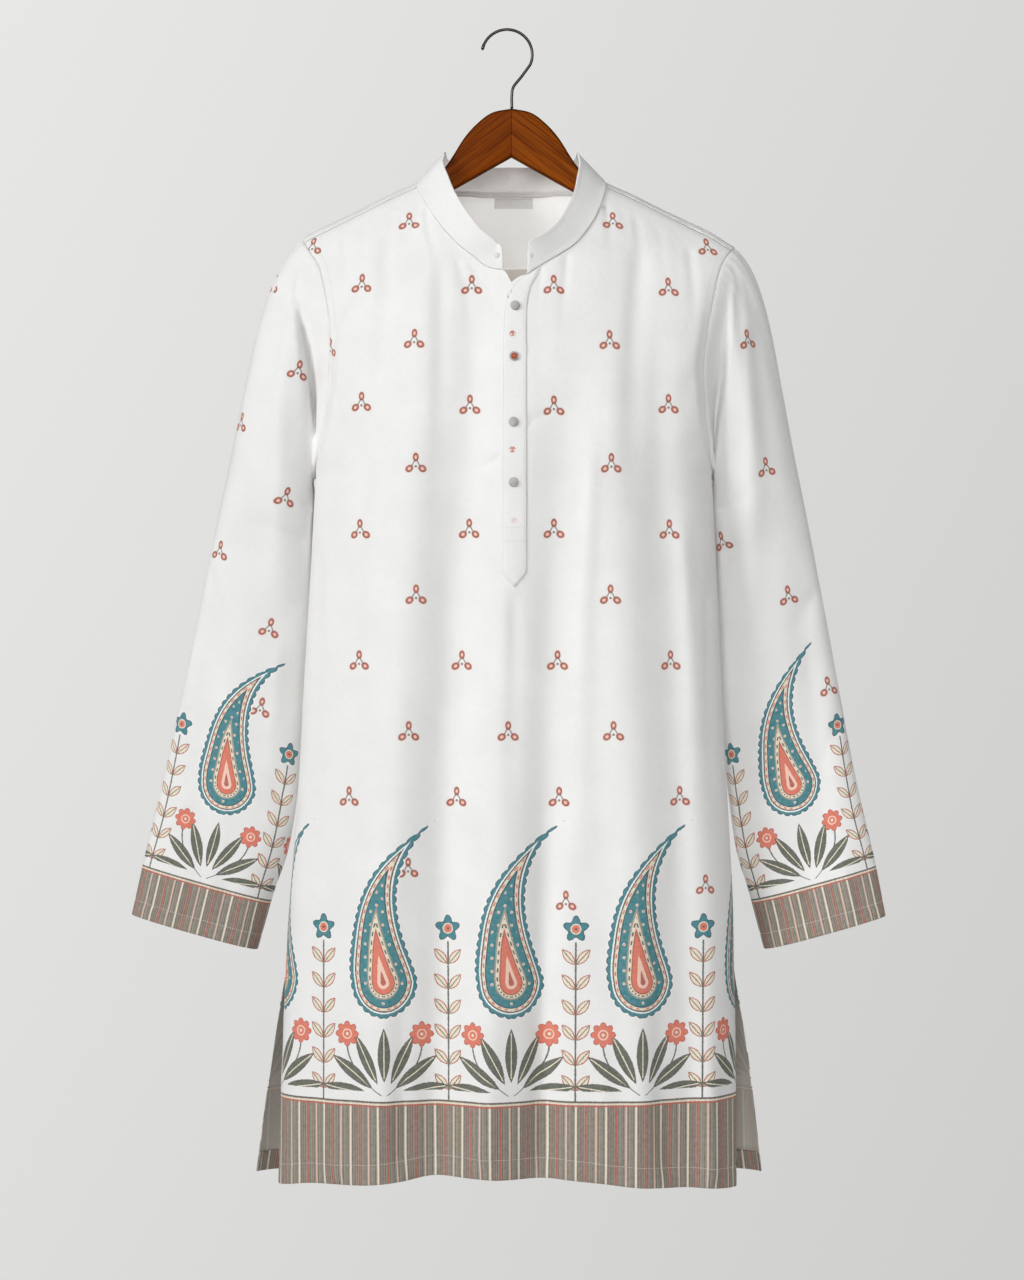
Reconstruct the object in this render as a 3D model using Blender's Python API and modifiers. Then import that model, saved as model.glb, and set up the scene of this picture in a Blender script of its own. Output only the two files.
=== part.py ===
"""Kurta tunic hanging on a wooden hanger.

Units are metres, +Z is up, -Y faces the viewer and "left" in a name means -X. The origin is where
the hook's wire rests on its rail, and "down" is a distance below it.

The garment's body is one hollow form, cut into a front and a back. A point on the form is named by
how far across it lies and by its drop below the shoulder line: positive down the back, negative
down the front. Each cloth piece is a grid of such points, thickened inwards.
"""

import math

import bmesh
import bpy
import numpy as np


def table(header, *rows):
    """A table as {column name: array}, its rows in rising order of the first column."""
    return dict(zip(header.split(), np.array(rows, float).T))


# Cloth and gaps
CLOTH = 0.0015
BAND = 0.0018  # the collar, which has a stiff layer inside
TRIM = 0.0010  # facing, label and placket
GAP = 0.0003  # between pieces that lie on each other
SEAM_GAP = 0.0007  # between pieces that meet edge to edge
SIDES = ("left", "right")
SIGN = {"left": -1.0, "right": 1.0}

# Levels, as distances below the rail
UNDERARM = 0.4595
SLIT_TOP = 0.947
BACK_HEM = 1.168

# The hollow form
SHOULDER_LINE = table(
    "across down",
    (0.000, 0.1127),
    (0.097, 0.1555),
    (0.125, 0.1680),
    (0.157, 0.1840),
    (0.184, 0.1975),
    (0.205, 0.2075),
    (0.219, 0.2162),
    (0.229, 0.2220),
)
SHOULDER_POINT = {"left": 0.2107, "right": 0.2241}
SHOULDER_ROUND = 0.016  # radius of the cloth where it lies over the hanger
SEAM_DROP = 0.007  # the shoulder seam lies this far down the front
HALF_WIDTH = table(
    "down left right",
    (0.213, 0.2128, 0.2330),
    (0.232, 0.2047, 0.2205),
    (0.255, 0.1942, 0.2115),
    (0.295, 0.1860, 0.2030),
    (0.325, 0.1828, 0.1980),
    (0.371, 0.1850, 0.1945),
    (0.410, 0.1905, 0.1968),
    (0.4595, 0.2000, 0.2040),
    (0.546, 0.2050, 0.2090),
    (0.684, 0.2127, 0.2155),
    (0.807, 0.2203, 0.2215),
    (0.916, 0.2285, 0.2265),
    (1.048, 0.2335, 0.2281),
    (1.180, 0.2365, 0.2281),
)
# How much wider the form is than the panels, which stop at the armhole and part at the slit
BEYOND_EDGE = table(
    "down extra",
    (0.150, 0.045),
    (0.250, 0.045),
    (0.300, 0.042),
    (0.360, 0.030),
    (0.410, 0.016),
    (0.440, 0.006),
    (0.4595, 0.0),
    (0.947, 0.0),
    (1.180, 0.004),
)
BACK_FLARE = table(
    "down left right",
    (0.900, 0.0, 0.0),
    (0.947, 0.0, 0.0),
    (1.022, 0.009, 0.011),
    (1.098, 0.018, 0.021),
    (1.168, 0.026, 0.029),
)
DEPTH = table(
    "down front back",
    (0.150, 0.0935, 0.075),
    (0.400, 0.0935, 0.075),
    (0.600, 0.0880, 0.066),
    (0.900, 0.0900, 0.064),
    (1.180, 0.0940, 0.064),
)
SWELL = {"front": 0.095, "back": 0.055}  # drop over which the form fills out below the shoulder
ROUNDNESS = 2.6  # exponent of the form's oval section

# Edges of the panels
FRONT_NECK = table(
    "across left right",
    (0.0000, 0.2660, 0.2660),
    (0.0077, 0.2534, 0.2600),
    (0.0155, 0.2525, 0.2573),
    (0.0242, 0.2503, 0.2515),
    (0.0380, 0.2389, 0.2425),
    (0.0506, 0.2291, 0.2352),
    (0.0659, 0.2123, 0.2235),
    (0.0818, 0.1900, 0.2018),
    (0.0899, 0.1755, 0.1850),
    (0.0966, 0.1630, 0.1630),
)
NECK_SIDE = 0.0966
COLLAR_END = {"left": 0.0077, "right": 0.0155}
BACK_NECK = table(
    "across drop",
    (0.0000, 0.0500),
    (0.0300, 0.0375),
    (0.0450, 0.0300),
    (0.0700, 0.0190),
    (0.0850, 0.0095),
    (0.0920, 0.0020),
    (0.0966, -0.0070),
)
FRONT_HEM = table(
    "share down",
    (-1.00, 1.1725),
    (-0.85, 1.1664),
    (-0.68, 1.1651),
    (-0.46, 1.1605),
    (-0.30, 1.1557),
    (-0.05, 1.1577),
    (0.14, 1.1577),
    (0.31, 1.1606),
    (0.53, 1.1663),
    (0.76, 1.1698),
    (1.00, 1.1755),
)

# Soft vertical folds: where each starts and ends, how wide it is and how far it stands out
FRONT_FOLDS = table(
    "start end fade across_start across_end width height",
    (0.30, 1.18, 0, -0.112, -0.165, 0.022, 0.0060),
    (0.30, 1.18, 0, 0.085, 0.088, 0.018, 0.0060),
    (0.34, 1.18, 0, 0.165, 0.168, 0.012, 0.0040),
    (0.62, 1.18, 0, -0.010, -0.012, 0.020, 0.0060),
    (0.30, 1.18, 0, -0.070, -0.095, 0.018, -0.0065),
    (0.30, 1.18, 0, 0.118, 0.152, 0.015, -0.0060),
    (0.62, 1.18, 0, 0.035, 0.040, 0.016, -0.0060),
    (0.70, 1.18, 0, 0.196, 0.198, 0.009, -0.0040),
)
BACK_FOLDS = table(
    "start end fade across_start across_end width height",
    (0.32, 1.17, 0, -0.125, -0.150, 0.022, 0.0060),
    (0.30, 1.17, 0, -0.055, -0.070, 0.018, -0.0070),
    (0.36, 1.17, 0, 0.010, 0.004, 0.022, 0.0060),
    (0.30, 1.17, 0, 0.075, 0.090, 0.018, -0.0070),
    (0.34, 1.17, 0, 0.130, 0.160, 0.020, 0.0055),
)

# The hollow between each sleeve's front and the body, and the soft folds down the sleeve
SLEEVE_FOLDS = table(
    "start end fade across_start across_end width height",
    (0.24, 0.52, 1, -0.203, -0.197, 0.010, -0.0130),
    (0.27, 0.60, 1, -0.232, -0.240, 0.014, 0.0060),
    (0.45, 0.92, 1, -0.275, -0.330, 0.016, -0.0040),
    (0.24, 0.52, 1, 0.214, 0.203, 0.010, -0.0130),
    (0.27, 0.60, 1, 0.238, 0.246, 0.014, 0.0060),
    (0.45, 0.92, 1, 0.275, 0.325, 0.016, -0.0040),
)

# Shares of the way across or down at which a grid has its columns and rows
NECK_COLUMNS = (0, 0.14, 0.30, 0.47, 0.64, 0.79, 0.91, 1)
BACK_NECK_COLUMNS = (0.20, 0.40, 0.58, 0.74, 0.87, 0.95, 1)
SHOULDER_COLUMNS = (0.16, 0.34, 0.52, 0.68, 0.82, 0.92, 0.975, 1)
FRONT_ARMHOLE_ROWS = (0, 0.04, 0.10, 0.17, 0.26, 0.36, 0.47, 0.58, 0.69, 0.79, 0.88, 0.95, 1)
BACK_ARMHOLE_DROPS = (
    -SEAM_DROP, -0.003, -0.0008, 0.0008, 0.003, 0.0075, 0.015, 0.027,
    0.045, 0.070, 0.100, 0.130, 0.160, 0.190, 0.215, 0.232, 0.2475,
)
FRONT_SIDE_ROWS, BACK_SIDE_ROWS = 9, 7
FRONT_SLIT_ROWS, BACK_SLIT_ROWS = 4, 4

# The collar, by share of the way from its front end round to the middle of the back
COLLAR_LEAN = table(
    "share inward back rise",
    (0.00, -0.0010, 0.014, 0.0265),
    (0.06, 0.0110, 0.016, 0.0235),
    (0.12, 0.0184, 0.018, 0.0183),
    (0.20, 0.0217, 0.019, 0.0160),
    (0.28, 0.0232, 0.019, 0.0167),
    (0.40, 0.0260, 0.015, 0.0175),
    (0.47, 0.0275, 0.010, 0.0200),
    (0.57, 0.0269, 0.000, 0.0285),
    (0.80, 0.0120, -0.004, 0.0290),
    (1.00, 0.0000, -0.005, 0.0295),
)
COLLAR_ROUND_SHARE = 0.05  # the stretch over which each front end rounds off
COLLAR_END_HEIGHT = 0.75
COLLAR_ROWS = 4
COLLAR_GAP = 0.0008

# Sleeves: the two edges of the flattened tube at stations down its length
SLEEVE = {
    "left": table(
        "outer_down outer inner_down inner depth back",
        (0.4583, 0.2941, 0.4913, 0.2034, 0.038, 0.026),
        (0.5304, 0.3095, 0.5613, 0.2065, 0.033, 0.034),
        (0.6334, 0.3308, 0.6664, 0.2117, 0.028, 0.038),
        (0.7230, 0.3497, 0.7549, 0.2184, 0.026, 0.034),
        (0.7972, 0.3662, 0.8353, 0.2300, 0.026, 0.028),
        (0.8497, 0.3785, 0.8817, 0.2450, 0.026, 0.024),
        (0.9042, 0.3899, 0.9398, 0.2612, 0.025, 0.020),
    ),
    "right": table(
        "outer_down outer inner_down inner depth back",
        (0.4532, 0.2955, 0.4913, 0.2095, 0.038, 0.026),
        (0.5304, 0.3115, 0.5613, 0.2106, 0.033, 0.034),
        (0.6386, 0.3325, 0.6695, 0.2137, 0.028, 0.038),
        (0.7230, 0.3470, 0.7570, 0.2215, 0.026, 0.034),
        (0.7972, 0.3612, 0.8394, 0.2325, 0.026, 0.028),
        (0.8420, 0.3713, 0.8796, 0.2445, 0.026, 0.024),
        (0.9058, 0.3837, 0.9393, 0.2600, 0.025, 0.020),
    ),
}
SLEEVE_HEAD_ROWS = 7
SLEEVE_ROWS = 10
HOLLOW_ROWS = 3  # rows over which the folds start, so that none begins at the seam
HEAD_OUTWARD = {"left": 0.64, "right": 0.54}  # how far the head carries on sideways
HEAD_DOWN = 1.05  # how strongly it turns down

# Placket, facing and label, as places on the form
PLACKET = {"side": 0.5565, "point": 0.5703, "top_inset": 0.0015}
PLACKET_EDGES = table(  # its top leans over to the collar's right end
    "down left right",
    (0.2510, 0.0155, 0.0285),
    (0.2573, 0.0155, 0.0255),
    (0.2615, 0.0100, 0.0235),
    (0.2660, 0.0040, 0.0210),
    (0.2700, 0.0018, 0.0188),
    (0.2844, -0.0064, 0.0158),
    (0.2933, -0.0080, 0.0147),
    (0.3100, -0.0094, 0.0145),
    (0.3400, -0.0100, 0.0145),
    (0.5703, -0.0100, 0.0145),
)
PLACKET_PLACES = (0, 0.22, 0.44, 0.72, 1)
PLACKET_SHARES = (
    0, 0.02, 0.045, 0.075, 0.11, 0.15, 0.22, 0.30, 0.38, 0.46, 0.54, 0.62, 0.70, 0.78, 0.86, 0.93, 1,
)
FACING = {"half_width": 0.080, "bottom": 0.2360, "top_inset": 0.0010, "columns": 17, "rows": 6}
FACING_DEPTH = CLOTH + 2 * GAP  # inside the form's outer face
LABEL = {"left": -0.0182, "right": 0.0224, "top_inset": 0.0015, "height": 0.0095}
LABEL_DEPTH = FACING_DEPTH + TRIM + GAP

# Buttons
BUTTON_DOWNS = (0.2900, 0.3408, 0.4065, 0.4663)
BUTTON_ACROSS = (0.0035, 0.0025, 0.0020, 0.0020)
BUTTON_RADIUS, BUTTON_HEIGHT = 0.0048, 0.0036
COLLAR_BUTTON = {"column": 1, "radius": 0.0034, "height": 0.0026}
COLLAR_STUD = {"column": 1, "radius": 0.0025, "height": 0.0018}

# Hanger
WIRE_RADIUS = 0.0015
HOOK_CENTRE = (-0.0045, -0.0248)
HOOK_RADIUS = 0.0258
HOOK_ARC = (170, -22)  # degrees, from the tip over the top
HOOK_ARC_POINTS = 22
HOOK_NECK = ((0.0172, -0.0378), (0.0096, -0.0480), (0.0022, -0.0575), (0.0004, -0.0660))
HANGER_TOP, HANGER_BOTTOM = 0.0800, 0.1300
HANGER_HALF_THICKNESS, HANGER_EDGE = 0.0055, 0.0035
MITRE_GAP = 0.0003
CLOTH_CLEARANCE = 0.0034  # from the outside of the cloth down to the wood
HANGER_DOME = ((0.0200, 0.0843), (0.0358, 0.0960), (0.0483, 0.1101), (0.0592, 0.1273))
HANGER_NECK = ((0.0670, 0.1388), (0.0800, 0.1522), (0.0951, 0.1645))
ARM_STATIONS = (0.1120, 0.1250, 0.1410, 0.1570, 0.1720)
ARM_END = ((0.1860, 0.2025), (0.1915, 0.2080), (0.1905, 0.2145), (0.1840, 0.2165))
ARM_LOWER = ((0.1700, 0.2115), (0.1300, 0.1965), (0.0900, 0.1792), (0.0578, 0.1624))


def smooth_at(data, key, column, at):
    """The column as a smooth curve of the key column, held between neighbours without overshoot."""
    xs, ys = data[key], data[column]
    at = np.clip(np.asarray(at, float), xs[0], xs[-1])
    steps = np.diff(xs)
    slopes = np.diff(ys) / steps
    tangents = np.concatenate([slopes[:1], np.zeros(len(xs) - 2), slopes[-1:]])
    product = slopes[1:] * slopes[:-1]
    total = np.where(product > 0, slopes[1:] + slopes[:-1], 1.0)
    tangents[1:-1] = np.where(product > 0, 2 * product / total, 0.0)
    i = np.clip(np.searchsorted(xs, at) - 1, 0, len(steps) - 1)
    t = (at - xs[i]) / steps[i]
    hold = (1 + 2 * t) * (1 - t) ** 2 * ys[i] + t**2 * (3 - 2 * t) * ys[i + 1]
    lean = t * (1 - t) ** 2 * tangents[i] - t**2 * (1 - t) * tangents[i + 1]
    return hold + steps[i] * lean


def by_side(data, key, at, across):
    """The left or right column, whichever side each point is on."""
    left, right = (smooth_at(data, key, side, at) for side in SIDES)
    return np.where(across < 0, left, right)


def shoulder_down(across):
    return smooth_at(SHOULDER_LINE, "across", "down", np.abs(across))


def fold_height(folds, across, down):
    """How far the folds move the cloth out at each place."""
    height = np.zeros(np.broadcast(across, down).shape)
    for start, end, fade, at_start, at_end, width, peak in zip(*folds.values()):
        share = np.clip((down - start) / (end - start), 0, 1)
        centre = at_start + (at_end - at_start) * np.sqrt(share)
        grown = np.sin(math.pi * share) if fade else np.sqrt(share)
        height += peak * grown * np.exp(-(((across - centre) / width) ** 2))
    return height


def form_point(across, drop, flare=0.0):
    """Points of the hollow form, as an array of x, y and z."""
    across, drop = np.broadcast_arrays(np.asarray(across, float), np.asarray(drop, float))
    down = shoulder_down(across) + np.abs(drop)
    widest = by_side(HALF_WIDTH, "down", down, across) + flare
    widest = widest + smooth_at(BEYOND_EDGE, "down", "extra", down)
    share = np.clip(np.abs(across) / widest, 0, 1)
    oval = (1 - share**ROUNDNESS) ** (1 / ROUNDNESS)
    rounding = SHOULDER_ROUND * np.sqrt(1 - (1 - np.clip(np.abs(drop) / SHOULDER_ROUND, 0, 1)) ** 2)
    depths = []
    for panel, folds in (("front", FRONT_FOLDS), ("back", BACK_FOLDS)):
        swell = 1 - np.exp(-np.abs(drop) / SWELL[panel])
        depth = smooth_at(DEPTH, "down", panel, down) - SHOULDER_ROUND
        depths.append(oval * (rounding + depth * swell) + oval * fold_height(folds, across, down))
    y = np.where(drop < 0, -depths[0], depths[1])
    return np.stack([across, y, -down], axis=-1)


def unit(vectors):
    return vectors / np.maximum(np.linalg.norm(vectors, axis=-1, keepdims=True), 1e-9)


def form_point_out(across, drop, out):
    """Points of the form, moved out along its normal."""
    step = 0.0005
    across = np.asarray(across, float)
    point = form_point(across, drop)
    along_x = form_point(across + step, drop) - form_point(across - step, drop)
    along_drop = form_point(across, drop + step) - form_point(across, drop - step)
    normal = unit(np.cross(along_drop, along_x))
    away = np.sign(normal[..., 1:2] * point[..., 1:2])
    return point + normal * away * out


def side_stations(side, neck_columns, neck_start):
    """Places across the top edge, from the neck's middle to the shoulder point, as positive numbers."""
    neck = neck_start + (NECK_SIDE - neck_start) * np.array(neck_columns)
    shoulder = NECK_SIDE + (SHOULDER_POINT[side] - NECK_SIDE) * np.array(SHOULDER_COLUMNS)
    return np.concatenate([neck, shoulder])


def panel_columns(neck_columns, neck_start, middle):
    """(places across the top edge, their shares of the half width), from left to right."""
    left = side_stations("left", neck_columns, neck_start["left"])
    right = side_stations("right", neck_columns, neck_start["right"])
    top = np.concatenate([-left[::-1], middle, right])
    return top, top / shoulder_point(top)


def shoulder_point(across):
    return np.where(np.asarray(across) < 0, SHOULDER_POINT["left"], SHOULDER_POINT["right"])


def panel_rows(top_drop, armhole_shares, side_rows, slit_rows, hem_down, share, flared):
    """(across, drop, flare) for each row: down the armhole, then the side seam, then the slit."""

    def edge_width(down):
        return by_side(HALF_WIDTH, "down", np.broadcast_to(down, share.shape), share)

    def at_edges(values):
        return np.where(share < 0, values[0], values[-1])

    rows = []
    underarm_drop = UNDERARM - shoulder_down(share * edge_width(UNDERARM))
    corner_down, corner_drop = shoulder_down(shoulder_point(share)), at_edges(top_drop)
    for f in armhole_shares:
        edge_drop = corner_drop + (at_edges(underarm_drop) - corner_drop) * f
        across = share * edge_width(corner_down + np.abs(edge_drop))
        rows.append((across, top_drop + (underarm_drop - top_drop) * f, 0.0))
    for start, end, count in ((UNDERARM, SLIT_TOP, side_rows), (SLIT_TOP, hem_down, slit_rows)):
        end = np.broadcast_to(end, share.shape)
        for i in range(1, count + 1):
            edge_down = start + (at_edges(end) - start) * i / count
            flare = by_side(BACK_FLARE, "down", edge_down, share) if flared else 0.0
            across = share * (edge_width(edge_down) + flare)
            down = start + (end - start) * i / count
            rows.append((across, down - shoulder_down(across), flare))
    return rows


def is_neck(across):
    return np.abs(across) < NECK_SIDE - 1e-6


def front_grid():
    top, share = panel_columns(NECK_COLUMNS, COLLAR_END, [0.0])
    neck_down = by_side(FRONT_NECK, "across", np.abs(top), top)
    neck_drop = neck_down - shoulder_down(top)
    top_drop = np.where(is_neck(top), neck_drop, SEAM_DROP + SEAM_GAP)
    hem = smooth_at(FRONT_HEM, "share", "down", share)
    counts = (FRONT_SIDE_ROWS, FRONT_SLIT_ROWS)
    rows = panel_rows(top_drop, FRONT_ARMHOLE_ROWS, *counts, hem, share, False)
    grid = np.stack([form_point(across, -drop, flare) for across, drop, flare in rows])
    grid[..., 1] -= SEAM_GAP / 2
    return grid


def back_grid():
    top, share = panel_columns(BACK_NECK_COLUMNS, {"left": 0.0, "right": 0.0}, [0.0])
    neck_drop = smooth_at(BACK_NECK, "across", "drop", np.abs(top))
    top_drop = np.where(is_neck(top), neck_drop, -SEAM_DROP)
    drops = np.array(BACK_ARMHOLE_DROPS)
    shares = (drops - drops[0]) / (drops[-1] - drops[0])
    hem = np.full(share.shape, BACK_HEM)
    rows = panel_rows(top_drop, shares, BACK_SIDE_ROWS, BACK_SLIT_ROWS, hem, share, True)
    grid = np.stack([form_point(across, drop, flare) for across, drop, flare in rows])
    grid[..., 1] += SEAM_GAP / 2
    return grid


def sheet(name, grid, thickness, material, closed=False, flip=False):
    """A cloth wall: quads between the grid's rows, thickened to the inside."""
    rows, columns = grid.shape[:2]
    bm = bmesh.new()
    verts = [[bm.verts.new(point) for point in row] for row in grid]
    for r in range(rows - 1):
        for c in range(columns if closed else columns - 1):
            d = (c + 1) % columns
            corners = [verts[r][c], verts[r + 1][c], verts[r + 1][d], verts[r][d]]
            bm.faces.new(corners[::-1] if flip else corners)
    mesh = bpy.data.meshes.new(name)
    bm.to_mesh(mesh)
    bm.free()
    mesh.shade_smooth()
    piece = add_object(name, mesh, material)
    wall = piece.modifiers.new("wall", "SOLIDIFY")
    wall.thickness = thickness
    wall.offset = -1
    wall.use_even_offset = False
    wall.use_quality_normals = True
    return piece


def armhole_ring(side, front, back):
    """(edge points, outward directions) round the armhole: down the front, then up the back."""
    edge, inner = (-1, -2) if side == "right" else (0, 1)
    front_rows, back_rows = len(FRONT_ARMHOLE_ROWS), len(BACK_ARMHOLE_DROPS)
    down = front[:front_rows]
    up = back[back_rows - 2 : 0 : -1]
    points = np.concatenate([down[:, edge], up[:, edge]])
    outward = unit(points - np.concatenate([down[:, inner], up[:, inner]]))
    height = np.clip((points[:, 2] + UNDERARM) / 0.10, 0, 1)[:, None]
    straight = unit(np.array([SIGN[side], 0.0, -0.25]))
    return points, unit(outward * height + straight * (1 - height))


def sleeve_ring(side, data, turn):
    """Points round a flattened tube whose two edges and depth the row gives; turn is an angle."""
    sign = SIGN[side]
    outer = np.array([sign * data["outer"], data["back"], -data["outer_down"]])
    inner = np.array([sign * data["inner"], data["back"], -data["inner_down"]])
    centre, half = (outer + inner) / 2, (outer - inner) / 2
    forward = np.array([0.0, -data["depth"], 0.0])
    return centre + np.cos(turn)[:, None] * half + np.sin(turn)[:, None] * forward


def ring_angles(loop):
    """Each point's angle round the sleeve, with the underarm at half a turn."""
    lengths = np.linalg.norm(np.roll(loop, -1, axis=0) - loop, axis=1)
    walked = np.cumsum(lengths) - lengths + lengths[-1] / 2
    to_underarm = walked[len(FRONT_ARMHOLE_ROWS) - 1]
    rest = (walked - to_underarm) / (lengths.sum() - to_underarm)
    return math.pi * np.where(walked <= to_underarm, walked / to_underarm, 1 + rest)


def sleeve_grid(side, front, back):
    start, outward = armhole_ring(side, front, back)
    turn = ring_angles(start)
    data = SLEEVE[side]
    last = len(data["outer"]) - 1
    stations = {"station": np.arange(last + 1, dtype=float), **data}

    def ring(station):
        row = {name: smooth_at(stations, "station", name, station) for name in data}
        return sleeve_ring(side, row, turn)

    first = ring(0.0)
    downward = unit(ring(0.5) - first)
    start = start + outward * SEAM_GAP
    reach = np.linalg.norm(first - start, axis=1, keepdims=True)
    rows = []
    for i in range(SLEEVE_HEAD_ROWS):
        t = i / SLEEVE_HEAD_ROWS
        rows.append(
            (1 + 2 * t) * (1 - t) ** 2 * start
            + t**2 * (3 - 2 * t) * first
            + t * (1 - t) ** 2 * HEAD_OUTWARD[side] * reach * outward
            - t**2 * (1 - t) * HEAD_DOWN * reach * downward
        )
    rows += [ring(last * i / SLEEVE_ROWS) for i in range(SLEEVE_ROWS + 1)]
    grid = np.stack(rows)
    facing_front = np.clip(np.sin(turn), 0, 1)
    settled = np.clip(np.arange(len(grid)) / HOLLOW_ROWS, 0, 1)[:, None] ** 2
    grid[..., 1] -= settled * facing_front * fold_height(SLEEVE_FOLDS, grid[..., 0], -grid[..., 2])
    return grid


def collar_grid(front, back):
    """The standing band: its foot follows the neck edge of both panels."""
    outer = len(SHOULDER_COLUMNS)
    left_front = front[0, outer : outer + len(NECK_COLUMNS)][::-1]
    right_front = front[0, -outer - len(NECK_COLUMNS) : -outer]
    behind = back[0, outer:-outer]
    foot = np.concatenate([left_front[:-1], behind, right_front[::-1][1:]])
    walked = np.cumsum(np.linalg.norm(np.diff(foot, axis=0, prepend=foot[:1]), axis=1))
    middle = len(left_front) - 1 + len(behind) // 2
    on_left = np.arange(len(foot)) <= middle
    unwalked = walked[-1] - walked
    share = np.where(on_left, walked / walked[middle], unwalked / unwalked[middle])
    lean = (smooth_at(COLLAR_LEAN, "share", name, share) for name in ("inward", "back", "rise"))
    inward, backward, rise = lean
    offset = np.stack([np.where(on_left, inward, -inward), backward, rise], axis=-1)
    rounding = np.sqrt(1 - (1 - np.clip(share / COLLAR_ROUND_SHARE, 0, 1)) ** 2)
    height = COLLAR_END_HEIGHT + (1 - COLLAR_END_HEIGHT) * rounding
    foot = foot + unit(offset) * COLLAR_GAP
    return np.stack([foot + offset * (height * i / COLLAR_ROWS)[:, None] for i in range(COLLAR_ROWS + 1)])


def placket_grid():
    """The strip down the front, from just below the neck edge to its point."""
    place = np.array(PLACKET_PLACES)
    rows = []
    for f in PLACKET_SHARES:
        across = np.full(place.shape, 0.01)
        for _ in range(6):
            top = by_side(FRONT_NECK, "across", np.abs(across), across) + PLACKET["top_inset"]
            bottom = PLACKET["point"] - (PLACKET["point"] - PLACKET["side"]) * np.abs(2 * place - 1)
            down = top + (bottom - top) * f
            left, right = (smooth_at(PLACKET_EDGES, "down", side, down) for side in SIDES)
            across = left + (right - left) * place
        rows.append(form_point_out(across, shoulder_down(across) - down, GAP + TRIM))
    grid = np.stack(rows)
    grid[..., 1] -= SEAM_GAP / 2
    return grid


def facing_grid():
    across = np.linspace(-FACING["half_width"], FACING["half_width"], FACING["columns"])
    top = smooth_at(BACK_NECK, "across", "drop", np.abs(across)) + FACING["top_inset"]
    bottom = FACING["bottom"] - shoulder_down(across)
    shares = np.linspace(0, 1, FACING["rows"])
    rows = [form_point_out(across, top + (bottom - top) * f, -FACING_DEPTH) for f in shares]
    return np.stack(rows)[:, ::-1]


def label_grid():
    across = np.linspace(LABEL["left"], LABEL["right"], 5)
    top = smooth_at(BACK_NECK, "across", "drop", np.abs(across)) + LABEL["top_inset"]
    rows = [form_point_out(across, top + LABEL["height"] * f, -LABEL_DEPTH) for f in (0, 0.5, 1)]
    return np.stack(rows)[:, ::-1]


def material(name, colour, roughness, metallic=0.0):
    made = bpy.data.materials.new(name)
    made.use_nodes = True
    shader = made.node_tree.nodes["Principled BSDF"]
    shader.inputs["Base Color"].default_value = (*colour, 1.0)
    shader.inputs["Roughness"].default_value = roughness
    shader.inputs["Metallic"].default_value = metallic
    made.diffuse_color = (*colour, 1.0)
    return made


def add_object(name, data, surface):
    """A new object with its own copy of the surface, in the kurta's collection."""
    own = surface.copy()
    own.name = name
    data.materials.append(own)
    made = bpy.data.objects.new(name, data)
    bpy.data.collections["kurta_tunic"].objects.link(made)
    return made


def dome_button(name, seat, outward, radius, height, surface):
    """A turned button: flat back, low rim and a domed face that points outward."""
    rim = 0.35 * height
    arc = [
        (radius * math.cos(angle), rim + (height - rim) * math.sin(angle))
        for angle in np.radians((67.5, 45.0, 22.5, 0.0))
    ]
    profile = [(0.0, height), *arc, (0.9 * radius, 0.0), (0.0, 0.0)]
    mesh = bpy.data.meshes.new(name)
    edges = [(i, i + 1) for i in range(len(profile) - 1)]
    mesh.from_pydata([(x, 0.0, z) for x, z in profile], edges, [])
    made = add_object(name, mesh, surface)
    turned = made.modifiers.new("turned", "SCREW")
    turned.steps = turned.render_steps = 12
    turned.use_merge_vertices = True
    turned.merge_threshold = 0.00005
    made.location = seat
    direction = np.array(outward, float)
    made.rotation_euler = (
        math.acos(direction[2]), 0.0, math.atan2(direction[1], direction[0]) + math.pi / 2
    )
    return made


def smooth_path(points, steps):
    """Points read from a smooth curve through the given ones."""
    points = [np.array(point, float) for point in points]
    points = [2 * points[0] - points[1], *points, 2 * points[-1] - points[-2]]
    path = []
    for a, b, c, d in zip(points, points[1:], points[2:], points[3:]):
        for i in range(steps):
            t = i / steps
            curved = (2 * a - 5 * b + 4 * c - d) * t**2 + (3 * b - a - 3 * c + d) * t**3
            path.append(b + 0.5 * ((c - a) * t + curved))
    return [*path, points[-2]]


def hanger_hook(surface):
    x, z = HOOK_CENTRE
    turns = np.radians(np.linspace(*HOOK_ARC, HOOK_ARC_POINTS))
    arc = [(x + HOOK_RADIUS * math.cos(a), z + HOOK_RADIUS * math.sin(a)) for a in turns]
    stem_end = (HOOK_NECK[-1][0], GAP - HANGER_TOP)
    path = [*arc[:-1], *smooth_path([arc[-1], *HOOK_NECK], 3), stem_end]
    curve = bpy.data.curves.new("hanger_hook", "CURVE")
    curve.dimensions = "3D"
    curve.bevel_depth = WIRE_RADIUS
    curve.bevel_resolution = 2
    curve.use_fill_caps = True
    spline = curve.splines.new("POLY")
    spline.points.add(len(path) - 1)
    for point, (px, pz) in zip(spline.points, path):
        point.co = (px, 0.0, pz, 1.0)
    add_object("hanger_hook", curve, surface)


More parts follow.
